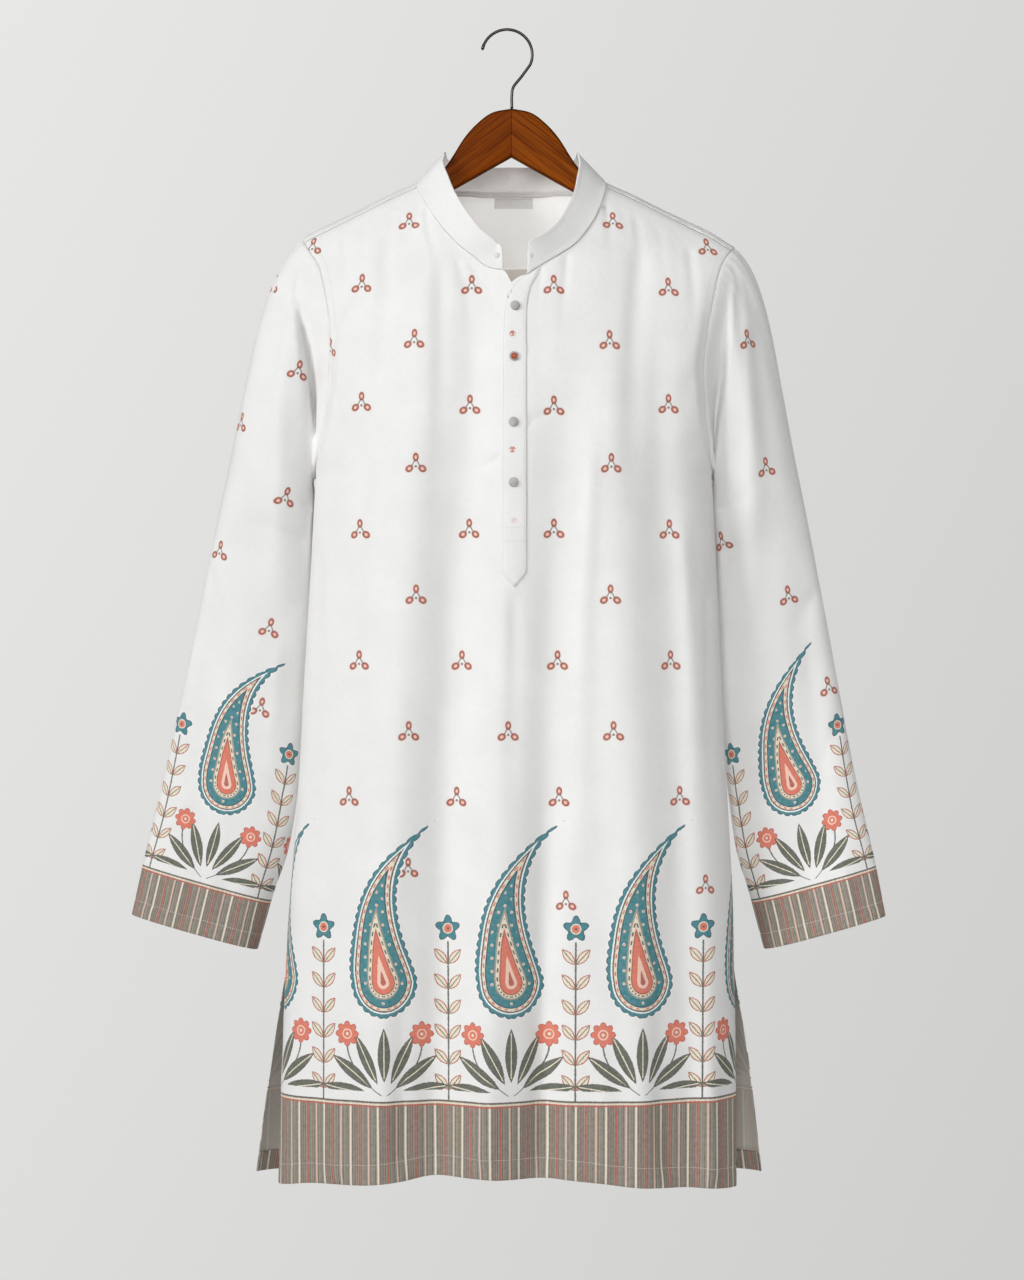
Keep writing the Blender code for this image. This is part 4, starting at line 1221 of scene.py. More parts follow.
@dataclass
class Sleeve:
    """One sleeve, from the armhole's edge over its head and down to the cuff."""

    side: Side
    body: Body
    stations: Table
    head_outward: float
    head_down: float
    folds: Table
    recess: Table
    front_creases: Creases
    back_creases: Creases
    motifs: Table
    head_rows: int = 7
    tube_rows: int = 10
    head_parts: int = 6
    tube_parts: int = 16
    hollow_rows: float = 2.0
    hollow_step: float = 0.005
    overlap: float = 0.0008
    tuck: float = 0.0003
    squareness: float = 0.84
    lopsided: float = 0.20
    hem: float = 0.0150
    straight_over: float = 0.10
    front_share: float = 0.5
    crease_share: float = 0.6
    turn_length: float = 0.04
    layers: tuple[Layer, ...] = ((0.0018, (14.0, 4.0)), (0.00045, (45.0, 9.0)))
    head_ramp: float = 0.012
    gather: float = 0.0005
    gather_count: int = 46
    gather_ramp: float = 0.003
    gather_reach: float = 0.4
    pull_waves: tuple[float, float] = (95.0, 9.0)

    def armhole(self) -> tuple[Array, Array]:
        """The armhole's edge and its outward directions: down the front, then up the back."""
        edge, inner = (-1, -2) if self.side is Side.RIGHT else (0, 1)
        front, back = self.body.front_points, self.body.back_points
        down = front[: self.body.front_armhole_count]
        up = back[self.body.back_armhole_count - 2 : 0 : -1]
        points = np.concatenate([down[:, edge], up[:, edge]])
        outward = unit(points - np.concatenate([down[:, inner], up[:, inner]]))
        height = np.clip((points[:, 2] + UNDERARM) / self.straight_over, 0, 1)[:, None]
        straight = unit(np.array([self.side.value, 0.0, -0.25]))
        return points, unit(outward * height + straight * (1 - height))

    def turns(self, loop: Array) -> Array:
        """Each point's angle round the sleeve, with the underarm at half a turn.

        Args:
            loop: The armhole's points, closed on themselves.

        Returns:
            One angle for each point.
        """
        lengths = np.linalg.norm(np.roll(loop, -1, axis=0) - loop, axis=1)
        walk = np.cumsum(lengths) - lengths + lengths[-1] / 2
        to_underarm = walk[self.body.front_armhole_count - 1]
        rest = (walk - to_underarm) / (lengths.sum() - to_underarm)
        return math.pi * np.where(walk <= to_underarm, walk / to_underarm, 1 + rest)

    def ring(self, station: float, turn: Array) -> Array:
        """Points round the flattened tube at one station down its length.

        Args:
            station: The station, which may lie between two of the table's.
            turn: Each point's angle round the sleeve.

        Returns:
            An array of x, y and z.
        """
        sizes = list(self.stations.columns)[1:]
        outer_down, outer, inner_down, inner, depth, back = (
            float(self.stations.read(size, station)) for size in sizes
        )
        outer_edge = np.array([self.side.value * outer, back, -outer_down])
        inner_edge = np.array([self.side.value * inner, back, -inner_down])
        centre, half = (outer_edge + inner_edge) / 2, (outer_edge - inner_edge) / 2
        forward = np.array([0.0, -depth, 0.0])
        aside, ahead = (
            np.sign(v) * np.abs(v) ** self.squareness for v in (np.cos(turn), np.sin(turn))
        )
        ahead = ahead * (1 - self.lopsided * np.cos(turn))
        return centre + aside[:, None] * half + ahead[:, None] * forward

    def folded(self, across: Array, down: Array) -> Array:
        """How far the soft folds down the sleeve's front stand out.

        Args:
            across: Places across the garment.
            down: Their distances below the rail.

        Returns:
            One height for each place.
        """
        height = np.zeros(across.shape)
        for start, end, at_start, at_end, width, peak in self.folds.rows():
            share = np.clip((down - start) / (end - start), 0, 1)
            centre = at_start + (at_end - at_start) * np.sqrt(share)
            height += peak * np.sin(math.pi * share) * bell(across - centre, width)
        return height

    def hollow(self, across: Array, down: Array) -> Array:
        """The steep step from the sleeve's front fold down into the hollow beside the body.

        Args:
            across: Places across the garment.
            down: Their distances below the rail.

        Returns:
            One height for each place, negative in the hollow.
        """
        edge, depth = self.recess.read("edge", down), self.recess.read("depth", down)
        inwards = self.side.value * (edge - across)
        return -depth * eased(inwards / self.hollow_step)

    def head(self, start: Array, outward: Array, turn: Array) -> list[Array]:
        """The rows of points from the armhole's edge over the head, before the tube's first.

        Args:
            start: The armhole's edge.
            outward: The direction in which the cloth leaves it.
            turn: Each point's angle round the sleeve.

        Returns:
            One array for each row.
        """
        first = self.ring(0.0, turn)
        downward = unit(self.ring(0.5, turn) - first)
        inwards = unit(start.mean(axis=0) - start)
        start = start - outward * self.overlap + inwards * (CLOTH_WALL + self.tuck)
        reach = np.linalg.norm(first - start, axis=1, keepdims=True)
        rows, count = [], self.head_rows * self.head_parts
        for i in range(count):
            t = i / count
            rows.append(
                (1 + 2 * t) * (1 - t) ** 2 * start
                + t**2 * (3 - 2 * t) * first
                + t * (1 - t) ** 2 * self.head_outward * reach * outward
                - t**2 * (1 - t) * self.head_down * reach * downward
            )
        return rows

    def shape(self, turn: Array, head: list[Array]) -> Array:
        """The sleeve's points with its long folds, before creases are laid into it.

        Args:
            turn: Each point's angle round the sleeve.
            head: The rows of points over its head.

        Returns:
            The grid of points.
        """
        last = len(self.stations.columns["station"]) - 1
        down_tube = np.linspace(0, last, self.tube_rows * self.tube_parts + 1)
        points = np.stack(head + [self.ring(station, turn) for station in down_tube])
        at_row = np.concatenate([
            np.arange(len(head)) / self.head_parts,
            self.head_rows + np.arange(len(down_tube)) / self.tube_parts,
        ])
        settled = (np.clip(at_row / self.hollow_rows, 0, 1) ** 2)[:, None]
        across, down = points[..., 0], -points[..., 2]
        front = np.clip(np.sin(turn), 0, 1)
        points[..., 1] -= settled * front * self.folded(across, down)
        points[..., 1] -= settled * eased(front / self.front_share) * self.hollow(across, down)
        return points

    def relief(self, points: Array, turn: Array, from_head: Array) -> Array:
        """How far creases, gathers and stitches move the cloth out.

        Args:
            points: The sleeve's points.
            turn: Each column's angle round the sleeve.
            from_head: How far each point is from the armhole.

        Returns:
            One height for each point.
        """
        across, down = points[..., 0], -points[..., 2]
        front, back = (np.clip(way * np.sin(turn), 0, 1) for way in (1.0, -1.0))
        height = eased(front / self.crease_share) * self.front_creases.height(across, down)
        height += eased(back / self.crease_share) * self.back_creases.height(across, down)
        round_place, _ = np.broadcast_arrays(turn * self.turn_length, across)
        seed = 30 + 10 * self.side.value
        places = np.stack([round_place, points[..., 2]], -1)
        height = rippled(height, places, self.layers, seed)
        height *= eased(from_head / self.head_ramp)
        waves = np.sin(turn * self.gather_count + 3 * np.sin(turn * 3))
        gathers = waves * np.exp(-from_head / self.head_ramp)
        near_top = eased(1 - (1 - np.abs(turn - math.pi) / 3) / self.gather_reach)
        height += self.gather * gathers * eased(from_head / self.gather_ramp) * near_top
        height -= self.body.groove * bell(from_head, GROOVE_WIDTH)
        pull = pulled(np.stack([round_place] * 2, -1), self.pull_waves, seed + 2)
        return height - pull * bell(from_head[-1:] - from_head - self.hem, PULL_WIDTH)

    @cached_property
    def grid(self) -> ClothGrid:
        """The sleeve's grid, turned up inside at the cuff."""
        start, outward = self.armhole()
        turn = self.turns(start)
        points = self.shape(turn, self.head(start, outward, turn))
        from_head = walked(points, axis=0)
        from_cuff = from_head[-1:] - from_head
        height = self.relief(points, turn, from_head)
        points = points + self.outward_normals(points) * height[..., None]
        underarm = self.body.front_armhole_count - 1
        points = np.roll(points, -underarm, axis=1)
        from_cuff = np.roll(from_cuff, -underarm, axis=1)
        turn = np.roll(turn, -underarm)
        closed = np.concatenate([points, points[:, :1]], axis=1)
        round_walk = walked(closed, axis=1)
        front_middle = int(np.argmin(np.abs(turn - math.pi / 2)))
        u = (round_walk - round_walk[:, front_middle : front_middle + 1]) * -self.side.value
        v = np.concatenate([from_cuff, from_cuff[:, :1]], axis=1) - CUFF_BAND
        return turned_up(ClothGrid(points, np.stack([u, v], -1)), self.hem, closed=True)

    @staticmethod
    def outward_normals(points: Array) -> Array:
        """Unit normals of a closed grid, all turned the same way and mostly out.

        Args:
            points: The grid.

        Returns:
            One normal for each point.
        """
        normal = facing(points, closed=True)
        away = np.sum(normal * (points - points.mean(axis=1, keepdims=True)), axis=(0, 1, 2))
        return normal * (1.0 if away > 0 else -1.0)

    def build(self, outer: bpy.types.Material, inner: bpy.types.Material) -> None:
        """Makes the sleeve as a piece.

        Args:
            outer: The finish of the cloth's outer side.
            inner: That of its inner side.
        """
        name = f"sleeve_{self.side.label}"
        grid = self.grid
        motifs = [*motif_frames(grid, self.motifs, -1.0), *motif_frames(grid, self.motifs, 1.0)]
        flip = self.side is Side.RIGHT
        sheet = Sheet(f"{name}_cloth", grid, outer, inner, closed=True, flip=flip, motifs=motifs)
        piece = sheet.build()
        finish_piece(piece, "printed_cotton", name)


SLEEVES = {
    Side.LEFT: {
        "stations": Table(
            "station outer_down outer inner_down inner depth back",
            (0, 0.4583, 0.2941, 0.4913, 0.2010, 0.038, 0.026),
            (1, 0.5304, 0.3095, 0.5613, 0.2052, 0.033, 0.034),
            (2, 0.6334, 0.3308, 0.6664, 0.2117, 0.028, 0.038),
            (3, 0.7230, 0.3497, 0.7549, 0.2184, 0.026, 0.034),
            (4, 0.7972, 0.3662, 0.8353, 0.2300, 0.026, 0.028),
            (5, 0.8497, 0.3785, 0.8817, 0.2450, 0.026, 0.024),
            (6, 0.9042, 0.3899, 0.9398, 0.2612, 0.025, 0.020),
        ),
        "head_outward": 0.64,
        "head_down": 1.05,
        "folds": folds(
            (0.24, 0.52, -0.203, -0.197, 0.010, -0.0130),
            (0.27, 0.60, -0.232, -0.240, 0.014, 0.0060),
            (0.45, 0.92, -0.275, -0.330, 0.016, -0.0040),
        ),
        "recess": Table(
            "down edge depth",
            (0.236, -0.2240, 0.0000), (0.262, -0.2228, 0.0090), (0.327, -0.2149, 0.0170),
            (0.400, -0.2048, 0.0185), (0.460, -0.1968, 0.0140), (0.520, -0.1900, 0.0000),
        ),
        "front_creases": creases(
            (-0.2190, 0.2430, -0.2300, 0.3300, 0.002, 0.0052, -0.0034),
            (-0.2290, 0.2620, -0.2480, 0.3500, 0.003, 0.0075, -0.0022),
            (-0.2380, 0.2900, -0.2520, 0.4600, -0.003, 0.0110, -0.0026),
            (-0.2050, 0.4900, -0.2520, 0.4560, 0.004, 0.0085, -0.0026),
            (-0.2080, 0.5250, -0.2700, 0.5050, -0.004, 0.0100, -0.0022),
            (-0.2120, 0.5900, -0.2600, 0.5600, 0.004, 0.0100, -0.0018),
            (-0.3120, 0.5500, -0.2780, 0.6300, -0.004, 0.0110, -0.0020),
            (-0.2400, 0.6200, -0.2560, 0.8000, 0.004, 0.0120, 0.0024),
            (-0.3400, 0.6900, -0.3100, 0.7600, 0.003, 0.0110, -0.0020),
            (-0.2330, 0.7900, -0.2700, 0.7300, -0.003, 0.0100, -0.0018),
            (-0.2950, 0.9160, -0.2750, 0.7900, 0.003, 0.0130, -0.0032),
            (-0.3450, 0.9100, -0.3280, 0.8100, -0.003, 0.0120, 0.0028),
        ),
        "back_creases": creases(
            (-0.2150, 0.2600, -0.2350, 0.3700, 0.003, 0.0080, -0.0022),
            (-0.2020, 0.4800, -0.2550, 0.4400, 0.004, 0.0100, -0.0026),
            (-0.2100, 0.5400, -0.2700, 0.5200, -0.004, 0.0110, -0.0022),
            (-0.2700, 0.4800, -0.2850, 0.6900, 0.004, 0.0130, -0.0028),
            (-0.3250, 0.6400, -0.2900, 0.7200, 0.003, 0.0110, -0.0020),
            (-0.3150, 0.9150, -0.2950, 0.7900, 0.004, 0.0140, -0.0030),
            (-0.3600, 0.9050, -0.3450, 0.8300, 0.000, 0.0110, 0.0026),
        ),
        "motifs": motifs(
            (0.2626, -0.2446, 14), (0.3521, -0.2159, 14), (0.4021, -0.2758, 14),
            (0.4805, -0.2317, 14), (0.5358, -0.3006, 14), (0.6139, -0.2486, 14),
            (0.6959, -0.2570, 14),
        ),
    },
    Side.RIGHT: {
        "stations": Table(
            "station outer_down outer inner_down inner depth back",
            (0, 0.4532, 0.2955, 0.4913, 0.2046, 0.038, 0.026),
            (1, 0.5304, 0.3115, 0.5613, 0.2093, 0.033, 0.034),
            (2, 0.6386, 0.3325, 0.6695, 0.2137, 0.028, 0.038),
            (3, 0.7230, 0.3470, 0.7570, 0.2215, 0.026, 0.034),
            (4, 0.7972, 0.3612, 0.8394, 0.2325, 0.026, 0.028),
            (5, 0.8420, 0.3713, 0.8796, 0.2445, 0.026, 0.024),
            (6, 0.9058, 0.3837, 0.9393, 0.2600, 0.025, 0.020),
        ),
        "head_outward": 0.54,
        "head_down": 1.05,
        "folds": folds(
            (0.24, 0.52, 0.214, 0.203, 0.010, -0.0130),
            (0.27, 0.60, 0.238, 0.246, 0.014, 0.0060),
            (0.45, 0.92, 0.275, 0.325, 0.016, -0.0040),
        ),
        "recess": Table(
            "down edge depth",
            (0.238, 0.2280, 0.0000), (0.262, 0.2250, 0.0080), (0.354, 0.2180, 0.0180),
            (0.398, 0.2120, 0.0200), (0.473, 0.2074, 0.0150), (0.530, 0.2040, 0.0000),
        ),
        "front_creases": creases(
            (0.2250, 0.2420, 0.2350, 0.2760, 0.001, 0.0040, -0.0040),
            (0.2370, 0.2520, 0.2450, 0.2900, 0.001, 0.0042, -0.0038),
            (0.2300, 0.2660, 0.2400, 0.3600, -0.002, 0.0065, -0.0020),
            (0.2460, 0.3000, 0.2600, 0.4700, 0.003, 0.0120, -0.0028),
            (0.2110, 0.4930, 0.2600, 0.4500, -0.004, 0.0090, -0.0026),
            (0.2130, 0.5350, 0.2800, 0.5200, 0.004, 0.0100, -0.0020),
            (0.3150, 0.5700, 0.2750, 0.6300, 0.003, 0.0110, -0.0020),
            (0.2160, 0.6300, 0.2550, 0.5900, -0.004, 0.0100, -0.0018),
            (0.2430, 0.6400, 0.2580, 0.8100, -0.004, 0.0120, 0.0022),
            (0.3380, 0.7000, 0.3020, 0.7700, 0.004, 0.0110, -0.0020),
            (0.2340, 0.8000, 0.2650, 0.7500, 0.003, 0.0100, -0.0018),
            (0.3050, 0.9150, 0.2880, 0.8000, -0.003, 0.0130, -0.0030),
            (0.3500, 0.9080, 0.3380, 0.8300, 0.002, 0.0110, 0.0026),
        ),
        "back_creases": creases(
            (0.2200, 0.2600, 0.2400, 0.3700, -0.003, 0.0080, -0.0022),
            (0.2080, 0.4800, 0.2600, 0.4450, -0.004, 0.0100, -0.0026),
            (0.2150, 0.5500, 0.2750, 0.5250, 0.004, 0.0110, -0.0022),
            (0.2750, 0.4700, 0.2900, 0.6800, -0.004, 0.0130, -0.0028),
            (0.3250, 0.6500, 0.2900, 0.7300, -0.003, 0.0110, -0.0020),
            (0.3120, 0.9150, 0.2950, 0.7900, -0.004, 0.0140, -0.0030),
            (0.3600, 0.9050, 0.3480, 0.8300, 0.000, 0.0110, 0.0026),
        ),
        "motifs": motifs(
            (0.3208, 0.2399, -12), (0.4511, 0.2600, -12), (0.5266, 0.2162, -12),
            (0.5811, 0.2833, -12), (0.6746, 0.3269, -12),
        ),
    },
}


def solid(
    bm: bmesh.types.BMesh, name: str, surface: bpy.types.Material | None = None
) -> bpy.types.Object:
    """Turns a mesh that has been built up into a smooth object of the same name.

    Args:
        bm: The mesh, which is freed.
        name: The name of the mesh and the object.
        surface: Its finish, if it has one.

    Returns:
        The object.
    """
    mesh = bpy.data.meshes.new(name)
    bm.to_mesh(mesh)
    bm.free()
    mesh.shade_smooth()
    if surface:
        mesh.materials.append(surface)
    return new_object(name, mesh)


@dataclass
class Stitching:
    """Rows of stitches, each a small rounded thread laid along a line on the cloth."""

    pitch: float = 0.0030
    length: float = 0.0022
    radius: float = 0.00021
    bluntness: float = 0.5
    unevenness: float = 0.22
    uneven_ways: tuple[float, float, float] = (1.0, 0.6, 0.0)
    seed: int = 4

    def thread(self) -> bpy.types.Object:
        """One stitch, a thread along X whose ends dive into the cloth."""
        bm = bmesh.new()
        bmesh.ops.create_uvsphere(bm, u_segments=6, v_segments=6, radius=1.0)
        for vert in bm.verts:
            along = vert.co.z
            bulge = math.copysign(abs(along) ** self.bluntness, along) if along else 0.0
            aside, above = vert.co.x * self.radius, vert.co.y * self.radius
            vert.co = Vector((bulge * self.length / 2, aside, above))
        return solid(bm, "stitch")

    def group(self, surface: bpy.types.Material) -> bpy.types.GeometryNodeTree:
        """The node group that lays stitches along the lines of a mesh.

        Args:
            surface: The thread's finish.

        Returns:
            The node group.
        """
        tree = bpy.data.node_groups.new("stitch_rows", "GeometryNodeTree")
        for name, way, kind in (
            ("Lines", "INPUT", "Geometry"),
            ("Pitch", "INPUT", "Float"),
            ("Stitch", "INPUT", "Object"),
            ("Unevenness", "INPUT", "Float"),
            ("Stitches", "OUTPUT", "Geometry"),
        ):
            tree.interface.new_socket(name, in_out=way, socket_type=f"NodeSocket{kind}")
        start, end, curve, points, shape, laid, align, uneven, spread, size, whole, finish = (
            tree.nodes.new(kind)
            for kind in (
                "NodeGroupInput",
                "NodeGroupOutput",
                "GeometryNodeMeshToCurve",
                "GeometryNodeCurveToPoints",
                "GeometryNodeObjectInfo",
                "GeometryNodeInstanceOnPoints",
                "FunctionNodeAlignEulerToVector",
                "FunctionNodeRandomValue",
                "ShaderNodeVectorMath",
                "ShaderNodeVectorMath",
                "GeometryNodeRealizeInstances",
                "GeometryNodeSetMaterial",
            )
        )
        points.mode = "LENGTH"
        align.axis = "X"
        uneven.data_type = "FLOAT_VECTOR"
        uneven.inputs["Seed"].default_value = self.seed
        spread.operation = "SCALE"
        spread.inputs[0].default_value = self.uneven_ways
        size.operation = "ADD"
        size.inputs[0].default_value = (1.0, 1.0, 1.0)
        finish.inputs["Material"].default_value = surface
        for out, into in (
            (start.outputs["Lines"], curve.inputs["Mesh"]),
            (curve.outputs["Curve"], points.inputs["Curve"]),
            (start.outputs["Pitch"], points.inputs["Length"]),
            (points.outputs["Points"], laid.inputs["Points"]),
            (points.outputs["Tangent"], align.inputs["Vector"]),
            (align.outputs["Rotation"], laid.inputs["Rotation"]),
            (start.outputs["Stitch"], shape.inputs["Object"]),
            (shape.outputs["Geometry"], laid.inputs["Instance"]),
            (start.outputs["Unevenness"], spread.inputs["Scale"]),
            (spread.outputs["Vector"], uneven.inputs["Max"]),
            (uneven.outputs["Value"], size.inputs[1]),
            (size.outputs["Vector"], laid.inputs["Scale"]),
            (laid.outputs["Instances"], whole.inputs["Geometry"]),
            (whole.outputs["Geometry"], finish.inputs["Geometry"]),
            (finish.outputs["Geometry"], end.inputs["Stitches"]),
        ):
            tree.links.new(out, into)
        return tree

    def lay(
        self, name: str, slot: str, lines: Iterable[Array], surface: bpy.types.Material
    ) -> None:
        """Makes one piece of all the stitches along some lines.

        Args:
            name: The piece's name.
            slot: The record's material slot.
            lines: Lines of points on the cloth.
            surface: The thread's finish.
        """
        points: list[tuple[float, ...]] = []
        edges: list[tuple[int, int]] = []
        for line in lines:
            first = len(points)
            points.extend(map(tuple, np.asarray(line)[:, :3].tolist()))
            edges.extend((i, i + 1) for i in range(first, len(points) - 1))
        mesh = bpy.data.meshes.new(f"{name}_lines")
        mesh.from_pydata(points, edges, [])
        drawn = new_object(f"{name}_lines", mesh)
        thread = self.thread()
        tree = self.group(surface)
        modifier = drawn.modifiers.new("stitches", "NODES")
        modifier.node_group = tree
        values = {"Pitch": self.pitch, "Stitch": thread, "Unevenness": self.unevenness}
        for socket in tree.interface.items_tree:
            if socket.in_out == "INPUT" and socket.name in values:
                modifier[socket.identifier] = values[socket.name]
        graph = bpy.context.evaluated_depsgraph_get()
        made = bpy.data.meshes.new_from_object(drawn.evaluated_get(graph))
        made.name = name
        piece = new_object(name, made)
        for old in (drawn, thread):
            bpy.data.objects.remove(old, do_unlink=True)
        finish_piece(piece, slot)


@dataclass
class Buttons:
    """The four buttons on the placket, and the collar's button and stud."""

    body: Body
    across: tuple[float, ...] = (0.0035, 0.0025, 0.0020, 0.0020)
    downs: tuple[float, ...] = (0.2900, 0.3408, 0.4065, 0.4663)
    radius: float = 0.0048
    height: float = 0.0036
    coral_button: int = 2
    gap: float = 0.0002
    collar_gap: float = 0.0003
    rim_share: float = 0.35
    steps: int = 32

    def dome(
        self,
        name: str,
        seat: Array,
        outward: Array,
        size: tuple[float, float],
        surface: bpy.types.Material,
    ) -> bpy.types.Object:
        """A cloth-covered dome with a soft rim, its back flat on the seat.

        Args:
            name: The dome's name.
            seat: The middle of its back.
            outward: The direction in which it faces.
            size: Its radius and its height.
            surface: Its finish.

        Returns:
            The dome.
        """
        radius, height = size
        rim = self.rim_share * height
        angles = np.radians(np.linspace(84, 0, 12))
        face = [(radius * math.cos(a), rim + (height - rim) * math.sin(a) ** 0.9) for a in angles]
        fold = [
            (radius * (1 - 0.04 * (1 - math.cos(a))), rim * (1 - math.sin(a) * 0.7))
            for a in np.radians((20, 45, 70))
        ]
        foot = [(radius * 0.93, 0.06 * height), (radius * 0.85, 0.0), (0.0, 0.0)]
        profile = [(0.0, height), *face, *fold, *foot]
        bm = bmesh.new()
        verts = [bm.verts.new((x, 0.0, z)) for x, z in profile]
        edges = [bm.edges.new(pair) for pair in zip(verts, verts[1:])]
        around = {"axis": (0, 0, 1), "cent": (0, 0, 0), "angle": math.tau}
        bmesh.ops.spin(bm, geom=verts + edges, steps=self.steps, **around)
        bmesh.ops.remove_doubles(bm, verts=bm.verts, dist=1e-6)
        bmesh.ops.recalc_face_normals(bm, faces=bm.faces)
        turn = Vector(outward).to_track_quat("Z", "Y")
        for vert in bm.verts:
            vert.co = turn @ vert.co + Vector(seat)
        return solid(bm, name, surface)

    def build(
        self,
        collar: ClothGrid,
        plain: bpy.types.Material,
        coral: bpy.types.Material,
        pale: bpy.types.Material,
    ) -> None:
        """Makes the buttons as pieces.

        Args:
            collar: The collar's grid.
            plain: The finish of the placket's buttons.
            coral: The finish of the one with a coral centre.
            pale: The finish of the collar's button and stud.
        """
        form, creases = self.body.form, self.body.front_creases
        for i, (across, down) in enumerate(zip(self.across, self.downs), 1):
            drop = form.shoulder_down(across) - down
            base = form.point_out(across, drop, 0.0)
            outward = unit(form.point_out(across, drop, 0.001) - base)
            place = np.array([across]), np.array([-down])
            out = float(self.body.stand_out(*place, creases, FRONT_SEED)[0])
            seat = base + outward * (CLOTH_WALL + 2 * LAID + out + self.gap)
            finish = coral if i == self.coral_button else plain
            size = self.radius, self.height
            button = self.dome(f"button_{i}_dome", seat, outward, size, finish)
            finish_piece(button, "button", f"button_{i}")
        points, walk = collar.points, collar.flat[0, :, 0]
        for name, from_end, inset_by, size, share in (
            ("collar_button", walk - walk[0], 0.0098, (0.0034, 0.0026), 0.54),
            ("collar_stud", walk[-1] - walk, 0.0085, (0.0025, 0.0018), 0.52),
        ):
            column = int(np.argmin(np.abs(from_end - inset_by)))
            row = int(len(points) * share)
            sideways = points[row, column + 1] - points[row, column - 1]
            outward = unit(np.cross(points[row + 1, column] - points[row - 1, column], sideways))
            outward = outward * (-1.0 if outward[1] > 0 else 1.0)
            seat = points[row, column] + outward * self.collar_gap
            button = self.dome(f"{name}_dome", seat, outward, size, pale)
            finish_piece(button, "button", name)


